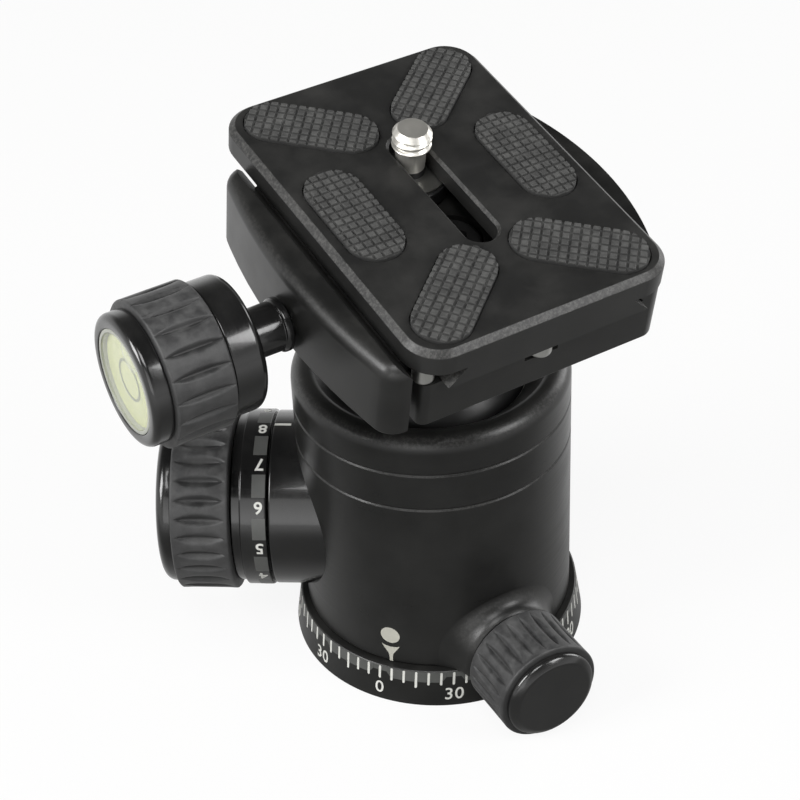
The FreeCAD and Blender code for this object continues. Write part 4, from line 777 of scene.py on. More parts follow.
rubber_main = rubber_for("rubber_main", MAIN, 16.2, 0.55)
rubber_pan = rubber_for("rubber_pan", PAN, 9.2, 0.36)
rubber_clamp = rubber_for("rubber_clamp", KNOB, 11.7, 0.5)
# Painted shade: the grooves between the pad's bumps are darker than the bumps' tops.
pad_rubber = finish(
    "pad_rubber", (0.047, 0.047, 0.0455), 0.62, 0.12, lift=1.35, grain=0.35, cloud=2.5, bump=0.4, depth=0.04,
    dust=0.20, dust_colour=(0.22, 0.22, 0.21, 1.0), specular=0.45, sheen=0.1,
    hollow_shade=(UPPER.to_translation() * MM, STEM, 47.26, 47.52, "Along axis", 0.45),
)


def steel_for(name, place, colour=(0.58, 0.57, 0.55), rough=0.24, metal=1.0):
    """Turned steel with lines round an axis."""
    return finish(
        name, colour, rough, 0.12, lift=1.12, grain=0.12, bump=0.12, depth=0.012, metal=metal,
        lathe=lathe_of(place), lathe_pitch=0.10, lathe_bump=2.0,
    )


screw_low, screw_high = corners_of("camera_screw", UPPER)
SCREW = UPPER @ Matrix.Translation((screw_low + screw_high) / 2)
bright_steel = steel_for("bright_steel", SCREW, (0.72, 0.70, 0.65), 0.34, 0.84)
spindle_steel = steel_for("spindle_steel", BASE)
clamp_steel = steel_for("clamp_steel", KNOB)
main_steel = steel_for("main_steel", MAIN)
pan_steel = steel_for("pan_steel", PAN, (0.66, 0.65, 0.63), 0.22)
pale_steel = finish(
    "pale_steel", (0.50, 0.50, 0.48), 0.34, 0.12, lift=1.15, grain=0.12, bump=0.15, depth=0.015, metal=1.0,
)
dark_steel = finish(
    "dark_steel", (0.20, 0.20, 0.19), 0.34, 0.12, grain=0.12, bump=0.2, depth=0.02, metal=0.9,
)
# Nearly black steel for the bolt and the screw head that show down the plate's slot: painted shade in the
# slot.
slot_shade_steel = finish(
    "slot_shade_steel", (0.022, 0.022, 0.022), 0.38, 0.10, grain=0.12, bump=0.2, depth=0.02, metal=0.3,
)
spring_steel = finish(
    "spring_steel", (0.42, 0.42, 0.43), 0.30, 0.10, grain=0.2, bump=0.1, depth=0.01, metal=1.0,
)
brass = finish("brass", (0.62, 0.46, 0.20), 0.30, 0.12, grain=0.15, bump=0.15, depth=0.015, metal=1.0)
pale_plastic = finish(
    "pale_plastic", (0.72, 0.71, 0.66), 0.45, 0.10, lift=1.06, grain=0.3, bump=0.1, depth=0.02,
)
vial_plastic = finish(
    "vial_plastic", (0.35, 0.36, 0.31), 0.30, 0.08, lift=1.06, grain=0.3, bump=0.06, depth=0.02, coat=0.3,
)
print_white = finish(
    "print_white", (0.70, 0.70, 0.66), 0.55, 0.10, lift=1.10, grain=0.12, cloud=2.5, bump=0.2, depth=0.02,
)
print_grey = finish(
    "print_grey", (0.085, 0.087, 0.083), 0.36, 0.08, lift=1.15, grain=0.12, cloud=3.0, bump=0.15, depth=0.02,
)
print_pale = finish(
    "print_pale", (0.52, 0.51, 0.45), 0.5, 0.10, lift=1.08, grain=0.12, cloud=2.5, bump=0.2, depth=0.02,
)
fluid = finish(
    "level_fluid", (0.58, 0.61, 0.23), 0.14, 0.04, lift=1.05, grain=0.6, cloud=4.0, bump=0.02,
    depth=0.02, coat=0.4,
)
target_olive = finish(
    "target_olive", (0.07, 0.085, 0.02), 0.4, 0.08, lift=1.1, grain=0.2, bump=0.05, depth=0.01,
)


def clear_finish(name, tint, body_share, rough):
    """A clear plastic: mostly see-through, with a shine that grows towards its edges."""
    material, graph, shader = new_material(name)
    skin = graph.part(GRAIN, Grain_size=0.5, Cloud_size=5.0)
    facing = graph.add("ShaderNodeLayerWeight", Blend=0.35)
    haze = graph.span(skin.outputs["Clouds"], 0.3, 0.7, body_share * 0.8, body_share * 1.2)
    edge = graph.span(facing.outputs["Facing"], 0.3, 1.0, 0.0, 0.5)
    graph.put(shader, "Alpha", graph.math("MINIMUM", graph.math("ADD", haze, edge), 1.0))
    graph.put(shader, "Base Color", graph.mix(skin.outputs["Clouds"], opaque(tint), opaque(tint, 1.05)))
    graph.put(shader, "Roughness", graph.span(skin.outputs["Clouds"], 0.3, 0.7, rough * 0.8, rough * 1.2))
    shader.inputs["Coat Weight"].default_value = 0.5
    shader.inputs["Coat Roughness"].default_value = 0.03
    return material


lens_clear = clear_finish("lens_clear", (0.80, 0.82, 0.74), 0.08, 0.05)
bubble_clear = clear_finish("bubble_clear", (0.86, 0.88, 0.66), 0.30, 0.06)

for label, material in (
    ("pan_bearing", pale_plastic), ("thrust_washer", spindle_steel), ("spindle_nut", spindle_steel),
    ("housing_floor", satin_turned), ("ball_seat_ring", pale_plastic), ("cup_spring", spring_steel),
    ("disc_springs", spring_steel), ("lower_ball_cup", pale_plastic), ("clamp_bolt", slot_shade_steel),
    ("clamp_washer", dark_steel), ("guide_pins", clamp_steel), ("lead_screw_clip", spring_steel),
    ("screw_clip", dark_steel), ("main_knob_hub", gloss_main), ("lock_screw", main_steel),
    ("main_knob_screw", main_steel), ("brake_wedge", brass), ("pan_knob_hub", gloss_pan),
    ("pan_lock_screw", pan_steel), ("pan_brake_plug", brass),
):
    item = frame["nodes"][label]
    item.data.materials.clear()
    item.data.materials.append(material)


# ---- base ----

FOOT, BAND_TOP, BAND_HEIGHT, HUB, HUB_TOP = 25.8, 24.7, 7.2, 18.8, 12.4


def band_radius(height):
    """The tick band's radius at a height."""
    return FOOT + (BAND_TOP - FOOT) * min(max(height, 0.0), BAND_HEIGHT) / BAND_HEIGHT


def make_base():
    """The footed disc with its groove and the recess for the spindle's flange."""
    groove_low, groove_high, groove = 7.7, 11.7, 18.3
    bore, recess, sunk = 7.55, 11.15, 2.75
    bm = turned([
        (recess, 0), (19.0, 0), (19.4, 0.5), (21.6, 0.5), (22.0, 0), (FOOT, 0),
        (BAND_TOP, BAND_HEIGHT), (HUB, BAND_HEIGHT), (HUB, groove_low), (groove, groove_low),
        (groove, groove_high), (HUB, groove_high), (HUB, HUB_TOP), (bore, HUB_TOP),
        (bore, sunk), (recess, sunk),
    ], rounds={5: 0.4, 6: 0.35}, steps=180)
    finished(bm, "pan_base_turned", BASE, "base", satin_turned, ["pan_base"])
    zero = math.radians(-146.3)
    tick_width, top = 0.42, 7.0
    marks = []
    numbers = []
    strips = []
    for step in range(72):
        away = (step * 5 + 180) % 360 - 180
        distance = math.radians(away) * band_radius(5.5)
        bottom = 3.75 if step % 6 == 3 else 4.45
        marks.append((flat_shape(stadium_up(tick_width, bottom, top)), distance, 0.0))
        if step % 6 == 0:
            text = flat_text(str(abs(away)), 2.35, 0.02)
            numbers.append((text, math.radians(away) * band_radius(2.7), 2.65))
            run = math.radians(30) * band_radius(6)
            gap, low, slant, foot = 1.25, 6.1, 0.8, 5.0
            far = run - gap
            strip = [(gap, low), (gap, top), (far, top), (far, low), (far - slant, foot), (gap + slant, foot)]
            strips.append((flat_shape(strip), distance, 0.0))
            strips.append((flat_shape([(-gap, low), (gap, low), (gap, top), (-gap, top)]), distance, 0.0))
    wall = round_wall(band_radius, zero)
    bm = printed(marks + numbers, wall, thickness=0.035)
    finished(bm, "pan_scale", BASE, "base", print_white, weighted=False)
    bm = printed(strips, wall, thickness=0.012)
    finished(bm, "pan_scale_strip", BASE, "base", print_grey, weighted=False)


def stadium_up(width, low, high):
    """A thin upright mark with round ends."""
    half = width / 2
    return arc_points((0, high - half), half, 0, 180, 6) + arc_points((0, low + half), half, 180, 360, 6)


def make_spindle():
    """The steel spindle with the tripod's thread in it."""
    hole, depth, flange, flange_top, body, post, top = 3.97, 11.0, 11.0, 2.7, 7.5, 6.0, 20.45
    tooth, pitch = 0.45, 1.5875
    wall = rows(hole, tooth, depth, 0.18)
    bm = turned([
        (hole + tooth, 0), (flange, 0), (flange, flange_top), (body, flange_top), (body, HUB_TOP),
        (post, HUB_TOP), (post, top), (0, top), (0, depth + 1.0), *wall[::-1],
    ], edge=0.0, steps=96)
    threaded(bm, hole, pitch, -tooth, 0.5, depth - 0.6)
    finished(bm, "pan_spindle_turned", BASE, "base", spindle_steel, ["pan_spindle"], weighted=False)


# ---- housing ----

WALL, BORE, HOUSING_LOW, HOUSING_TOP = 23.5, 19.2, 7.5, 56.4
NOTCH_AZIMUTH, NOTCH_WIDTH = 55.0, 16.4


def make_housing():
    """The round shell with its fine lines, shoulder, lip and the notch that the stem drops into."""
    rim, lip, lip_height = 20.1, 16.0, 52.7
    mouth, floor = 0.36, 0.06
    deep = WALL - 0.24
    outline = [(BORE, HOUSING_LOW), (WALL, HOUSING_LOW)]
    for line in (42.2, 49.3):
        outline += [(WALL, line - mouth), (deep, line - floor), (deep, line + floor), (WALL, line + mouth)]
    top = len(outline)
    outline += [(WALL, HOUSING_TOP), (rim, HOUSING_TOP), (lip, lip_height), (BORE, lip_height)]
    bm = turned(outline, rounds={1: 0.4, top: 3.0, top + 1: 0.5, top + 2: 0.25}, edge=0.06, steps=192)
    notch = Matrix.Translation((0, 0, BALL_HEIGHT)) @ placed(
        UP.cross(direction(NOTCH_AZIMUTH)), UP, direction(NOTCH_AZIMUTH), Vector((0, 0, 0))
    )
    half = NOTCH_WIDTH / 2
    shape = arc_points((0, 0), half, 180, 360, 32) + [(half, 16), (-half, 16)]
    cutter = raised(shape, 12, 27)
    cutter.transform(notch)
    bm = combined(bm, [cutter])
    walls = []
    back = notch.inverted()
    for line in bm.edges:
        if len(line.link_faces) != 2 or line.calc_face_angle(0.0) < math.radians(40):
            continue
        spots = [back @ end.co for end in line.verts]
        on_cutter = all(
            abs(math.hypot(spot.x, spot.y) - half) < 0.05 if spot.y < 0 else abs(abs(spot.x) - half) < 0.02
            for spot in spots
        )
        if on_cutter and all(spot.z > 0 for spot in spots):
            walls.append(line)
    soften(bm, walls, 0.35, 2)
    finished(bm, "housing_shell", BASE, "housing", satin_turned, ["housing"])


def direction(azimuth):
    """A level direction from its azimuth in degrees."""
    return Vector((math.cos(math.radians(azimuth)), math.sin(math.radians(azimuth)), 0))


def make_boss():
    """The pan boss: a round end that flares out into the housing's wall."""
    end, end_radius = 26.0, 8.7
    bore, sunk = 2.0, 2.5
    steps, root, lip = 120, 11.9, 0.9
    flat = HOUSING_LOW + 0.02 - PAN.to_translation().z
    bm = bmesh.new()
    soft = 0.35
    sections = [
        (bore, end - 0.01), (end_radius - soft, end), (end_radius, end - soft),
        (end_radius + 0.25, end - lip),
    ]
    rings = []
    for radius, height in sections:
        rings.append([
            bm.verts.new((radius * math.cos(a), max(radius * math.sin(a), flat), height))
            for a in angles_of(steps)
        ])
    saddle, start = WALL - 0.03, end - lip
    neck = end_radius + 0.25
    for share in (0.25, 0.5, 0.7, 0.85, 0.95, 1.0):
        turn = share * math.pi / 2
        reach = neck + (root - neck) * (1 - math.cos(turn)) ** 0.9
        ring = []
        for a in angles_of(steps):
            x = reach * math.cos(a)
            meet = math.sqrt(max(saddle ** 2 - x * x, 0.0))
            height = start + (meet - start) * math.sin(turn)
            ring.append(bm.verts.new((x, max(reach * math.sin(a), flat), height)))
        rings.append(ring)
    deep = [bm.verts.new((point.co.x, point.co.y, point.co.z - sunk)) for point in rings[-1]]
    inner = [bm.verts.new((bore * math.cos(a), bore * math.sin(a), WALL - sunk)) for a in angles_of(steps)]
    loop = rings + [deep, inner, rings[0]]
    for first, second in zip(loop, loop[1:]):
        for index in range(steps):
            other = (index + 1) % steps
            bm.faces.new((first[index], first[other], second[other], second[index]))
    bmesh.ops.dissolve_degenerate(bm, dist=1e-4, edges=bm.edges)
    finished(bm, "pan_boss", PAN, "housing", satin, sharp=40)


def angles_of(steps):
    """Angles evenly round a circle."""
    return [math.tau * index / steps for index in range(steps)]


def make_index_mark():
    """The index on the housing: a dot over a funnel whose stem points at the scale."""
    start = math.radians(-142.4)
    dot = flat_shape(arc_points((0, 13.55), 1.72, 0, 345, 23))
    funnel = flat_shape([
        (-1.65, 11.25), (-1.1, 11.0), (0, 10.85), (1.1, 11.0), (1.65, 11.25),
        (0.42, 9.3), (0.3, 8.6), (0.3, 7.6), (-0.3, 7.6), (-0.3, 8.6), (-0.42, 9.3),
    ][::-1])
    wall = round_wall(lambda height: WALL, start)
    bm = printed([(dot, 0.0, 0.0), (funnel, 0.0, 0.0)], wall, thickness=0.03)
    finished(bm, "index_mark", BASE, "housing", print_pale, weighted=False)


def make_barrel():
    """The glossy barrel between the housing and the dial, saddled on the housing's wall."""
    radius, end, bore = 15.2, 27.6, 4.0
    steps = 180
    bm = turned(
        [(bore, 18.0), (radius, 18.0), (radius, end), (7.8, end), (7.8, end - 3.05), (bore, end - 3.05)],
        rounds={2: 0.4}, edge=0.1, steps=steps,
    )
    for point in bm.verts:
        if abs(point.co.z - 18.0) < 0.2:
            point.co.z = math.sqrt(max((WALL - 0.05) ** 2 - point.co.x ** 2, 0.0)) - 0.35
    finished(bm, "barrel", MAIN, "housing", gloss_main, ["barrel_sleeve"], sharp=38)
    line = [(24.5, -0.3), (27.35, -0.3), (27.35, 0.3), (24.5, 0.3)]
    wall = dial_wall(radius, math.radians(93.5))
    bm = printed([(flat_shape(line), 0.0, 0.0)], wall, thickness=0.03)
    finished(bm, "barrel_index_line", MAIN, "housing", print_white, weighted=False)


DIAL_START, DIAL_WIDTH, DIAL_RADIUS, DIAL_STEP = 27.9, 6.1, 15.4, 14.7
DIAL_PITCH, DIAL_EIGHT = 28.0, 87.6


def make_dial():
    """The numbered friction dial: a glossy ring with a step by the grip, a grey strip and its numbers."""
    end = DIAL_START + DIAL_WIDTH
    step = end - 1.5
    bm = turned([
        (7.05, DIAL_START), (DIAL_RADIUS, DIAL_START), (DIAL_RADIUS, step), (DIAL_STEP, step),
        (DIAL_STEP, end), (7.05, end),
    ], rounds={1: 0.35, 2: 0.3}, edge=0.12, steps=180)
    finished(bm, "friction_dial_turned", MAIN, "friction_dial", gloss_main, ["friction_dial"])
    wall = dial_wall(DIAL_RADIUS, math.radians(DIAL_EIGHT))
    middle = DIAL_START + 1.3
    pitch = math.radians(DIAL_PITCH) * DIAL_RADIUS
    numbers = []
    strips = []
    for value in range(10):
        numbers.append((flat_text(str(value), 2.2, 0.055), middle, (8 - value) * pitch))
        if value:
            half = pitch / 2 - math.radians(6.6) * DIAL_RADIUS
            strip = [(-1.15, -half), (1.15, -half), (1.15, half), (-1.15, half)]
            strips.append((flat_shape(strip), middle, (8.5 - value) * pitch))
    bm = printed(numbers, wall, thickness=0.035)
    finished(bm, "dial_numbers", MAIN, "friction_dial", print_white, weighted=False)
    bm = printed(strips, wall, thickness=0.012)
    finished(bm, "dial_strip", MAIN, "friction_dial", print_grey, weighted=False)


def make_main_knob():
    """The main knob's rubber grip and glossy cap."""
    start, width, radius = 34.3, 10.0, 16.2
    bm = ribbed(13.9, radius, start, start + width, 30, 2.5, 0.62, 0.8, crown=0.12)
    finished(
        bm, "main_knob_rubber", MAIN, "main_knob", rubber_main, ["main_knob_grip"],
        sharp=50, weighted=False,
    )
    cap = start + width + 0.05
    bm = turned([
        (0, cap), (15.0, cap), (15.0, cap + 2.7), (12.2, cap + 2.7), (11.9, cap + 2.45), (0, cap + 2.45),
    ], rounds={2: 1.7, 3: 0.12, 4: 0.12}, edge=0.2, steps=180)
    finished(bm, "main_knob_cap_turned", MAIN, "main_knob", gloss_main, ["main_knob_cap"])


def make_pan_knob():
    """The pan knob: bright collar, rubber grip and bevelled glossy cap."""
    start, width, radius = 26.65, 10.6, 9.2
    bm = turned([(2.1, 26.05), (6.0, 26.05), (6.0, 26.35), (2.1, 26.35)], edge=0.08, steps=96)
    finished(bm, "pan_collar_bright", PAN, "housing", pan_steel, ["pan_boss_collar"])
    bm = ribbed(7.25, radius, start, start + width, 24, 1.7, 0.40, 0.7, crown=0.08)
    finished(
        bm, "pan_knob_rubber", PAN, "pan_knob", rubber_pan, ["pan_knob_grip"],
        sharp=50, weighted=False,
    )
    cap = start + width + 0.05
    bm = turned([
        (0, cap), (8.2, cap), (8.2, cap + 0.9), (6.94, cap + 1.8), (0, cap + 1.8),
    ], rounds={2: 0.4, 3: 0.3}, edge=0.15, steps=128)
    finished(bm, "pan_knob_cap_turned", PAN, "pan_knob", gloss_pan, ["pan_knob_cap"])


# ---- ball and stem ----


def make_ball():
    """The ball, its neck and the flange under the clamp."""
    radius, neck = 17.5, 7.6
    last = math.degrees(math.acos(neck / radius))
    steps = 64
    arc = arc_points((0, 0), radius, -90, last - 2.0, steps)
    arc[0] = (0.0, -radius)
    outline = arc + [
        (neck + 0.12, 16.2), (neck, 17.0), (neck, 24.6), (neck + 0.5, 26.1), (neck + 1.9, 27.0),
        (11.0, 27.0), (11.0, 30.4), (3.05, 30.4), (3.05, 16.4), (0, 16.4),
    ]
    flange = steps + 5
    bm = turned(outline, rounds={flange: 0.4, flange + 1: 0.4, flange + 2: 0.3}, edge=0.0, steps=160)
    finished(bm, "ball_and_stem_turned", UPPER, "tilt", ball_black, ["ball_and_stem"], sharp=40)


# ---- clamp ----

CLAMP_LOW, DECK, HOOK_TOP = 31.0, 39.55, 42.4
CLAMP_LEFT, CLAMP_RIGHT, CLAMP_HALF = -21.2, 28.6, 25.7
JAW_INSIDE, JAW_OUTSIDE, JAW_TOP = -23.2, -29.9, 44.7
PIN_PLACE = 14.0
DOVETAIL_FOOT, DOVETAIL_WAIST, DOVETAIL_LOW = 18.0, 15.0, 39.7
SLOPE = HOOK_TOP - DOVETAIL_LOW
FLANK = DOVETAIL_FOOT + 0.3 * 1.4143  # the clamp's slopes lie this far out at the dovetail's foot


def clamp_outline():
    """The clamp body from above: a straight inner side and a bowed far side."""
    bend = 50.0
    centre = CLAMP_RIGHT - bend
    lean = math.degrees(math.asin(CLAMP_HALF / bend))
    bow = arc_points((centre, 0), bend, -lean, lean, 36)
    return [(CLAMP_LEFT, -CLAMP_HALF)] + bow + [(CLAMP_LEFT, CLAMP_HALF)]


def round_corners(bm, corners, amount, segments=6):
    """Round the corners of a flat face that lie at given places."""
    spots = [Vector(spot) for spot in corners]
    chosen = [point for point in bm.verts if any((point.co.xy - spot).length < 1e-4 for spot in spots)]
    rounded(bm, chosen, amount, segments)


def prism(points, corners, amount, low, high, top_round, bottom_round):
    """A prism whose chosen corners and whose top and bottom outer edges are rounded."""
    bm = flat_shape([(x, y, low) for x, y in points])
    round_corners(bm, corners, amount)
    drawn_out(bm, (0, 0, high - low))
    large = top_round > 1
    soften(bm, level_lines(bm, high), top_round, 8 if large else 3, clamp=not large)
    soften(bm, level_lines(bm, low), bottom_round, 3)
    return bm


def bar(points, half_length):
    """A bar drawn in x and z and drawn out both ways along y."""
    bm = flat_shape([(x, -half_length, z) for x, z in points])
    return drawn_out(bm, (0, half_length * 2, 0))


def make_clamp_body():
    """The clamp's fixed half: bed, far hook, end notches, and bores for pins, springs and bolt."""
    outline = clamp_outline()
    ends = [outline[0], outline[1], outline[-2], outline[-1]]
    bm = prism(outline, ends, 3.0, CLAMP_LOW, HOOK_TOP, 0.5, 0.6)
    channel = bar([
        (CLAMP_LEFT - 3, DECK), (FLANK + 0.15, DECK), (FLANK - SLOPE - 0.4, HOOK_TOP + 0.4),
        (FLANK - 5, HOOK_TOP + 3), (CLAMP_LEFT - 3, HOOK_TOP + 3),
    ], CLAMP_HALF + 3)
    tools = [channel, rod(5.1, 34.0, 45.0), rod(3.05, 25.0, 38.0, 48)]
    tools.append(rod(2.55, CLAMP_LEFT - 3, -8.0 + 0.4, 48, along_x(CLAMP_AXIS)))
    for side in (-1, 1):
        place = Matrix.Translation((0, PIN_PLACE * side, 0)) @ along_x(CLAMP_AXIS)
        tools.append(rod(1.55, CLAMP_LEFT - 3, -9.1, 40, place))
        tools.append(rod(2.9, CLAMP_LEFT - 3, CLAMP_LEFT + 4.2, 48, place))
        low, high = sorted((side * (CLAMP_HALF - 3.0), side * (CLAMP_HALF + 3.0)))
        tools.append(brick((-3, low, 36.5), (3, high, DECK + 2)))
    bm = combined(bm, tools)
    finished(bm, "clamp_body_cut", UPPER, "clamp", satin, ["clamp_body"])


def make_jaw():
    """The moving jaw: bowed outside, rounded top, a slope inside and the hook over the dovetail."""
    bend = 105.0
    centre = JAW_OUTSIDE + bend
    lean = math.degrees(math.asin(CLAMP_HALF / bend))
    bow = arc_points((centre, 0), bend, 180 - lean, 180 + lean, 12)
    spare = JAW_INSIDE + 6.0
    outline = [(spare, CLAMP_HALF)] + bow + [(spare, -CLAMP_HALF)]
    bm = prism(outline, [bow[0], bow[-1]], 2.8, CLAMP_LOW, JAW_TOP, 2.4, 0.6)
    land = JAW_INSIDE - 2.2
    slope = bar([
        (JAW_INSIDE + 3, HOOK_TOP), (JAW_INSIDE, HOOK_TOP), (land, JAW_TOP), (land, JAW_TOP + 3),
        (JAW_INSIDE + 3, JAW_TOP + 3),
    ], CLAMP_HALF + 3)
    behind = brick((JAW_INSIDE, -CLAMP_HALF - 3, CLAMP_LOW - 3), (spare + 3, CLAMP_HALF + 3, JAW_TOP + 3))
    tools = [behind, slope, rod(2.8, JAW_OUTSIDE - 3, JAW_INSIDE + 3, 48, along_x(CLAMP_AXIS))]
    bm = combined(bm, tools)
    tip, start, hook_low = SLOPE - FLANK, JAW_INSIDE - 1, DECK + 0.3
    hook = bar([
        (start, hook_low), (0.15 - FLANK, hook_low), (tip + 0.25, HOOK_TOP - 0.25), (tip - 0.1, HOOK_TOP),
        (start, HOOK_TOP),
    ], 21.5)
    added(bm, hook)
    finished(bm, "clamp_jaw_cut", UPPER, "jaw", satin, ["clamp_jaw"])
    springs = bmesh.new()
    for side in (-1, 1):
        place = Matrix.Translation((0, PIN_PLACE * side, 0)) @ along_x(CLAMP_AXIS)
        coil(springs, 2.15, 0.25, JAW_INSIDE + 0.05, CLAMP_LEFT + 3.9, 6.0, place=place)
    finished(
        springs, "clamp_spring_wires", UPPER, "jaw", spring_steel, ["clamp_springs"],
        weighted=False,
    )


# along the clamp knob: bore, shaft, hub, grip, cap, and the level's cup in the cap
SHAFT, FLARE, COLLAR, CORE, RIM = 4.0, 4.35, 10.8, 9.6, 8.35
SHAFT_START, COLLAR_START, COLLAR_END = 30.2, 38.0, 43.6
GRIP_START, GRIP_END, CAP_END, HUB_FACE = 43.9, 53.7, 56.95, 49.45
CUP, CUP_INSIDE, CUP_END, CUP_FLOOR = 8.3, 7.7, 56.85, 49.5
LENS_START, FLUID_END = 56.0, 55.9


def make_clamp_knob():
    """The clamp knob: shaft, collar, rubber grip, glossy cap and the bubble level in its face."""
    bore = 2.55
    bm = turned([
        (bore, SHAFT_START), (FLARE, SHAFT_START), (FLARE, SHAFT_START + 1.1), (SHAFT, SHAFT_START + 1.4),
        (SHAFT, COLLAR_START), (COLLAR, COLLAR_START), (COLLAR, COLLAR_END), (CORE, COLLAR_END),
        (CORE, GRIP_END), (RIM, GRIP_END), (RIM, HUB_FACE), (bore, HUB_FACE),
    ], rounds={1: 0.25, 2: 0.25, 4: 0.35, 5: 1.4, 6: 0.35}, edge=0.08, steps=160)
    finished(bm, "clamp_knob_core", KNOB, "clamp_knob", gloss_clamp, ["clamp_knob_hub"])
    bm = ribbed(9.65, 11.7, GRIP_START, GRIP_END, 20, 1.8, 0.55, 0.15, crown=0.14, per_rib=24)
    finished(
        bm, "clamp_knob_rubber", KNOB, "clamp_knob", rubber_clamp, ["clamp_knob_grip"],
        sharp=50, weighted=False,
    )
    cap_start, cap_radius = GRIP_END + 0.05, 10.5
    bm = turned(
        [(RIM, cap_start), (cap_radius, cap_start), (cap_radius, CAP_END), (RIM, CAP_END)],
        rounds={2: 1.1, 3: 0.25}, edge=0.2, steps=160,
    )
    finished(bm, "clamp_knob_cap_turned", KNOB, "clamp_knob", gloss_clamp, ["clamp_knob_cap"])
    bm = turned([
        (0, CUP_FLOOR), (CUP, CUP_FLOOR), (CUP, CUP_END), (CUP_INSIDE, CUP_END),
        (CUP_INSIDE, CUP_FLOOR + 0.6), (0, CUP_FLOOR + 0.6),
    ], edge=0.08, steps=128)
    finished(bm, "level_cup", KNOB, "clamp_knob", vial_plastic, ["level_vial"])
    lens = CUP_INSIDE - 0.02
    bm = turned(
        [(0, LENS_START), (lens, LENS_START), (lens, 56.72), (5.5, 56.83), (2.5, 56.88), (0, 56.9)],
        edge=0.04, steps=128,
    )
    finished(bm, "level_window", KNOB, "clamp_knob", lens_clear, ["level_lens"], weighted=False)
    screw, notch, screw_end = 2.5, 2.0, 49.1
    bm = turned([
        (0, 8.0), (2.1, 8.0), (screw, 8.4), (screw, 21.8), (notch, 21.85), (notch, 22.55), (screw, 22.6),
        (screw, screw_end), (0, screw_end),
    ], edge=0.0, steps=48)
    finished(
        bm, "clamp_lead_screw_turned", KNOB, "clamp_knob", clamp_steel, ["clamp_lead_screw"],
        weighted=False,
    )


def make_level():
    """The level's fluid, its target ring and the bubble that floats uppermost."""
    fluid_radius, fluid_start = 7.62, 50.2
    bm = turned(
        [(0, fluid_start), (fluid_radius, fluid_start), (fluid_radius, FLUID_END), (0, FLUID_END)],
        edge=0.1, steps=96,
    )
    finished(bm, "level_liquid", KNOB, "level_contents", fluid, ["level_fluid"])
    bm = bmesh.new()
    bmesh.ops.create_uvsphere(bm, u_segments=48, v_segments=24, radius=1.0)
    bubble, bubble_height = 2.6, 2.35
    rise = 8.3 - 0.6 - 2.6 - 0.3
    bm.transform(Matrix.Translation((0, rise, 55.93)) @ Matrix.Diagonal((bubble, bubble_height, 0.10, 1.0)))
    finished(
        bm, "level_air_bubble", KNOB, "level_contents", bubble_clear, ["level_bubble"],
        weighted=False,
    )
    ring, ring_outside, ring_low, ring_high = 3.02, 3.46, 55.93, 55.99
    bm = turned(
        [(ring, ring_low), (ring_outside, ring_low), (ring_outside, ring_high), (ring, ring_high)],
        edge=0.02, steps=96,
    )
    finished(bm, "level_target", KNOB, "clamp_knob", target_olive, weighted=False)


# ---- plate ----

PLATE_WIDTH, PLATE_LENGTH, PLATE_LOW, PLATE_TOP = 45.9, 62.9, DOVETAIL_LOW, 47.0
plate_low, plate_high = corners_of("quick_release_plate", UPPER)
PLATE = UPPER @ Matrix.Translation((0, (plate_low.y + plate_high.y) / 2, 0))
PAD_LENGTH, PAD_WIDTH, PAD_PROUD, PAD_SUNK = 21.5, 9.2, 0.6, 0.8


def pad_places():
    """Where the six pads lie on the plate, as frames."""
    places = [(15.7 * side, 0.4, 90.0) for side in (-1, 1)]
    for across in (-1, 1):
        for along in (-1, 1):
            places.append((11.2 * across, 21.2 * along, 40.0 * across * along))
    return [
        Matrix.Translation((x, y, 0)) @ Matrix.Rotation(math.radians(turn), 4, "Z") for x, y, turn in places
    ]


def make_plate():
    """The plate: rounded slab with a broken top edge, dovetail, slot, recess and the pads' seats."""
    half_x, half_y, chamfer = PLATE_WIDTH / 2, PLATE_LENGTH / 2, 1.0
    outline = [(-half_x, -half_y), (half_x, -half_y), (half_x, half_y), (-half_x, half_y)]
    bm, corners = outline_face([(x, y, PLATE_LOW) for x, y in outline])
    rounded(bm, corners, 6.0, 14)
    drawn_out(bm, (0, 0, PLATE_TOP - PLATE_LOW))
    soften(bm, level_lines(bm, PLATE_TOP), chamfer, 1)
    steep = math.radians(30)
    rim = [
        line for line in bm.edges if len(line.link_faces) == 2 and line.calc_face_angle(0.0) > steep
        and all(end.co.z > PLATE_TOP - chamfer - 0.2 for end in line.verts)
    ]
    soften(bm, rim, 0.12, 2)
    tools = []
    top = PLATE_LOW + 3.0
    for side in (-1, 1):
        tools.append(bar([
            (DOVETAIL_FOOT * side, PLATE_LOW), (DOVETAIL_WAIST * side, top), ((half_x + 2) * side, top),
            ((half_x + 2) * side, PLATE_LOW - 2), (20.0 * side, PLATE_LOW - 2),
        ], half_y + 2))
    turn = Matrix.Rotation(math.radians(90), 4, "Z")
    slot = flared(stadium(27.0, 5.5), PLATE_LOW - 2, PLATE_TOP, 0.5, 0.5)
    slot.transform(turn)
    tools.append(slot)
    recess = raised(stadium(37.0, 14.0), PLATE_LOW - 2, PLATE_LOW + 3.9)
    recess.transform(turn)
    tools.append(recess)
    for place in pad_places():
        seat = raised(stadium(PAD_LENGTH + 0.5, PAD_WIDTH + 0.5), PLATE_TOP - PAD_SUNK, PLATE_TOP + 2)
        seat.transform(place)
        tools.append(seat)
    bm = combined(bm, tools)
    finished(
        bm, "camera_plate", PLATE, "plate", plate_black, ["quick_release_plate"], sharp=28,
    )


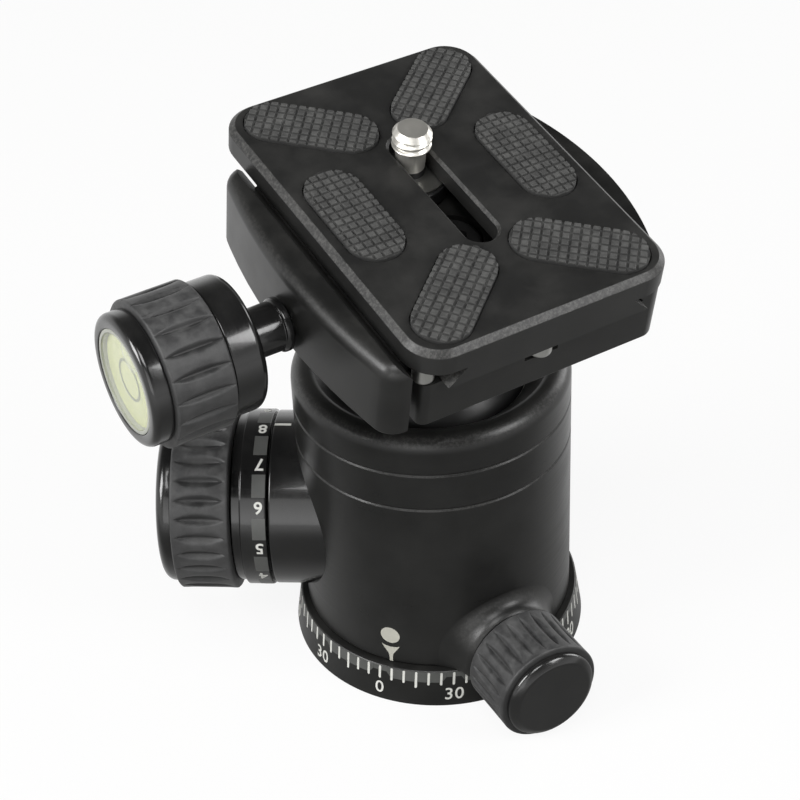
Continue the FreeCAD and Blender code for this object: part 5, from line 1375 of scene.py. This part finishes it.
def bumpy_pad():
    """One pad in its own frame: square bumps in rows, cut to the outline of a straight slot."""
    pitch, groove, relief = 1.5, 0.34, 0.30
    top = PLATE_TOP + PAD_PROUD
    low = PLATE_TOP - PAD_SUNK + 0.05
    half_x, half_y = PAD_LENGTH / 2 + pitch, PAD_WIDTH / 2 + pitch
    outline = [(-half_x, -half_y), (half_x, -half_y), (half_x, half_y), (-half_x, half_y)]
    bm = flat_shape([(x, y, top - relief) for x, y in outline])
    for side, extent in ((0, half_x), (1, half_y)):
        normal = Vector((0, 0, 0))
        normal[side] = 1.0
        count = int(extent / pitch) + 1
        for index in range(-count, count + 1):
            for shift in (-groove / 2, groove / 2):
                spot = Vector((0, 0, 0))
                spot[side] = (index + 0.5 * side) * pitch + shift
                geometry = bm.verts[:] + bm.edges[:] + bm.faces[:]
                bmesh.ops.bisect_plane(bm, geom=geometry, dist=1e-5, plane_co=spot, plane_no=normal)
    square_size = (pitch - groove) ** 2
    squares = [square for square in bm.faces if abs(square.calc_area() - square_size) < 0.05]
    bmesh.ops.inset_individual(bm, faces=squares, thickness=0.07, depth=relief - 0.08, use_even_offset=True)
    bmesh.ops.inset_individual(bm, faces=squares, thickness=0.09, depth=0.08, use_even_offset=True)
    drawn = bmesh.ops.extrude_edge_only(bm, edges=[line for line in bm.edges if line.is_boundary])["geom"]
    for part in drawn:
        if isinstance(part, bmesh.types.BMVert):
            part.co.z = low
    bmesh.ops.holes_fill(bm, edges=[line for line in bm.edges if line.is_boundary])
    shape = raised(stadium(PAD_LENGTH, PAD_WIDTH, 24), low - 1, top + 1)
    return combined(bm, [shape], "INTERSECT")


def make_pads():
    """Six rubber pads, each with its own fine grid of square bumps."""
    pad = bumpy_pad()
    whole = bmesh.new()
    for place in pad_places():
        added(whole, pad.copy(), place)
    pad.free()
    finished(
        whole, "plate_pads", PLATE, "plate", pad_rubber, ["rubber_pads"], sharp=35,
        weighted=False,
    )


def make_stop_screws():
    """The small screws under the plate that stop it in the clamp."""
    whole = bmesh.new()
    ledge = PLATE_LOW + 3.0
    for x, y, radius, low, high in (
        (0, 28.825, 1.95, PLATE_LOW - 2.8, PLATE_LOW), (0, -28.825, 1.95, PLATE_LOW - 2.8, PLATE_LOW),
        (20.2, 27.725, 1.75, PLATE_LOW, ledge), (-20.2, -27.725, 1.75, PLATE_LOW, ledge),
    ):
        high -= 0.02
        outline = [(0, low), (radius, low), (radius, high), (0, high)]
        screw = turned(outline, rounds={1: 0.5}, edge=0.1, steps=48)
        thin, wide, deep = 0.3, 1.1, 0.7
        cross = [
            brick((-x_half, -y_half, low - 1), (x_half, y_half, low + deep))
            for x_half, y_half in ((thin, wide), (wide, thin))
        ]
        screw = combined(screw, cross)
        added(whole, screw, Matrix.Translation((x, y, 0)) @ Matrix.Rotation(0.6 + x, 4, "Z"))
    finished(whole, "plate_stop_screws", PLATE, "plate", pale_steel, ["stop_screws"])


def make_camera_screw():
    """The camera screw: bright threaded stud and slim neck, and a slotted head under the plate, darkened as
    painted shade in the plate's slot.
    """
    place = UPPER @ Matrix.Translation((0, (screw_low.y + screw_high.y) / 2, 0))
    tip, start, radius = 51.7, 48.3, 3.175
    wall = rows(radius, start + 0.25, tip - 0.85, 0.08)
    bm = turned(
        [(0, 44.4), (2.45, 44.4), (2.45, start - 0.1), (radius - 0.35, start)] + wall
        + [(radius - 0.75, tip), (0, tip)],
        edge=0.0, steps=120,
    )
    threaded(bm, radius, 1.27, 0.5, start + 0.2, tip - 0.8, 0.35)
    finished(
        bm, "camera_stud", place, "camera_screw", bright_steel, ["camera_screw"], sharp=40,
        weighted=False,
    )
    head = turned(
        [(0, 39.9), (6.4, 39.9), (6.4, 42.7), (2.45, 42.7), (2.45, 44.4), (0, 44.4)],
        rounds={1: 0.3, 2: 0.3}, edge=0.05, steps=96,
    )
    head = combined(head, [brick((-8, -0.7, 38), (8, 0.7, 41.2))])
    finished(head, "camera_screw_head", place, "camera_screw", slot_shade_steel)


make_base()
make_spindle()
make_housing()
make_boss()
make_index_mark()
make_barrel()
make_dial()
make_main_knob()
make_pan_knob()
make_ball()
make_clamp_body()
make_jaw()
make_clamp_knob()
make_level()
make_plate()
make_pads()
make_stop_screws()
make_camera_screw()


# ---- stage, light and camera ----


def seen_by(graph, mirrored_share):
    """How much a ray sees the white surround: in full from the camera and through clear plastic,
    and by a share in mirrors."""
    ray = graph.add("ShaderNodeLightPath").outputs
    mirrored = graph.math("MULTIPLY", ray["Is Glossy Ray"], mirrored_share)
    direct = graph.math("MAXIMUM", ray["Is Camera Ray"], ray["Is Transmission Ray"])
    return graph.math("MAXIMUM", direct, mirrored)


def make_floor():
    """A plain pale floor, white to the camera."""
    bm = bmesh.new()
    bmesh.ops.create_grid(bm, x_segments=1, y_segments=1, size=3.0)
    mesh = bpy.data.meshes.new("floor")
    bm.to_mesh(mesh)
    bm.free()
    floor = bpy.data.objects.new("floor", mesh)
    bpy.context.scene.collection.objects.link(floor)
    material = bpy.data.materials.new("floor_pale")
    material.use_nodes = True
    tree = material.node_tree
    tree.nodes.clear()
    graph = Graph(tree)
    output = graph.add("ShaderNodeOutputMaterial")
    spot = graph.object_place()
    behind = graph.vector("DOT_PRODUCT", spot, (0.45, 0.89, 0.0))
    away = graph.span(graph.vector("LENGTH", spot), 0.10, 0.50, 0.0, 1.0)
    far = graph.math("MAXIMUM", away, graph.span(behind, -0.03, 0.05, 0.0, 0.85))
    seen = seen_by(graph, far)
    cloud = graph.span(graph.noise(spot, 3.0), 0.3, 0.7, 0.0, 1.0)
    colour = graph.mix(cloud, (0.80, 0.80, 0.79, 1.0), (0.83, 0.83, 0.82, 1.0))
    dim = graph.mix(cloud, (0.24, 0.24, 0.235, 1.0), (0.26, 0.26, 0.255, 1.0))
    shader = graph.add("ShaderNodeBsdfDiffuse")
    graph.put(shader, "Color", graph.mix(seen, dim, colour))
    glow = graph.add("ShaderNodeEmission", Strength=1.0)
    mixed = graph.add("ShaderNodeMixShader")
    graph.put(mixed, 0, graph.math("MULTIPLY", seen, 0.90))
    tree.links.new(shader.outputs[0], mixed.inputs[1])
    tree.links.new(glow.outputs[0], mixed.inputs[2])
    tree.links.new(mixed.outputs[0], output.inputs[0])
    mesh.materials.append(material)


def make_surround():
    """A surround that is white to the camera and dims with height for other rays."""
    world = bpy.data.worlds.new("studio")
    bpy.context.scene.world = world
    world.use_nodes = True
    tree = world.node_tree
    tree.nodes.clear()
    graph = Graph(tree)
    output = graph.add("ShaderNodeOutputWorld")
    split = graph.add("ShaderNodeSeparateXYZ")
    graph.put(split, 0, graph.add("ShaderNodeTexCoord").outputs["Generated"])
    high = graph.span(split.outputs["Z"], 0.0, 0.75, 0.0, 1.0)
    colour = graph.mix(high, (0.34, 0.34, 0.33, 1.0), (0.06, 0.06, 0.06, 1.0))
    backdrop = graph.span(split.outputs["Z"], 0.10, 0.45, 1.0, 0.0)
    seen = seen_by(graph, backdrop)
    background = graph.add("ShaderNodeBackground")
    graph.put(background, "Color", graph.mix(seen, colour, (1.0, 1.0, 1.0, 1.0)))
    tree.links.new(background.outputs[0], output.inputs[0])


def make_light(name, spot, aim, size, power):
    """A soft box that points at a place."""
    data = bpy.data.lights.new(name, "AREA")
    data.shape = "RECTANGLE"
    data.size, data.size_y = size
    data.energy = power
    item = bpy.data.objects.new(name, data)
    bpy.context.scene.collection.objects.link(item)
    item.location = spot
    item.rotation_mode = "QUATERNION"
    item.rotation_quaternion = (Vector(aim) - Vector(spot)).to_track_quat("-Z", "Y")


def make_camera():
    """The camera, where the photograph was taken from."""
    spot = Vector((-147.82, -246.34, 263.51)) * MM
    ahead = Vector((0.39808, 0.69258, -0.60156)).normalized()
    right = ahead.cross(Vector((0.34078, 0.49719, 0.79792))).normalized()
    above = right.cross(ahead)
    focal, picture = 2126.8, 800.0
    data = bpy.data.cameras.new("camera")
    data.sensor_width = 36.0
    data.lens = 36.0 * focal / picture
    data.clip_start = 0.01
    data.clip_end = 20.0
    camera = bpy.data.objects.new("camera", data)
    bpy.context.scene.collection.objects.link(camera)
    camera.matrix_world = Matrix.Translation(spot) @ Matrix((right, above, -ahead)).transposed().to_4x4()
    bpy.context.scene.camera = camera


make_floor()
make_surround()
CENTRE = (0.0, 0.0, 0.045)
make_light("left_box", (-0.72, 0.05, 0.52), CENTRE, (0.32, 0.42), 5.5)
make_light("top_box", (-0.30, -0.42, 0.90), CENTRE, (0.42, 0.4), 3.6)
make_light("front_right_box", (0.42, -0.66, 0.58), CENTRE, (0.36, 0.36), 3.8)
make_light("front_left_box", (-0.66, -0.66, 0.34), CENTRE, (0.55, 0.60), 1.5)
make_light("right_box", (0.85, 0.10, 0.28), CENTRE, (0.30, 0.45), 1.8)
make_camera()
bpy.context.scene.view_settings.view_transform = "Standard"
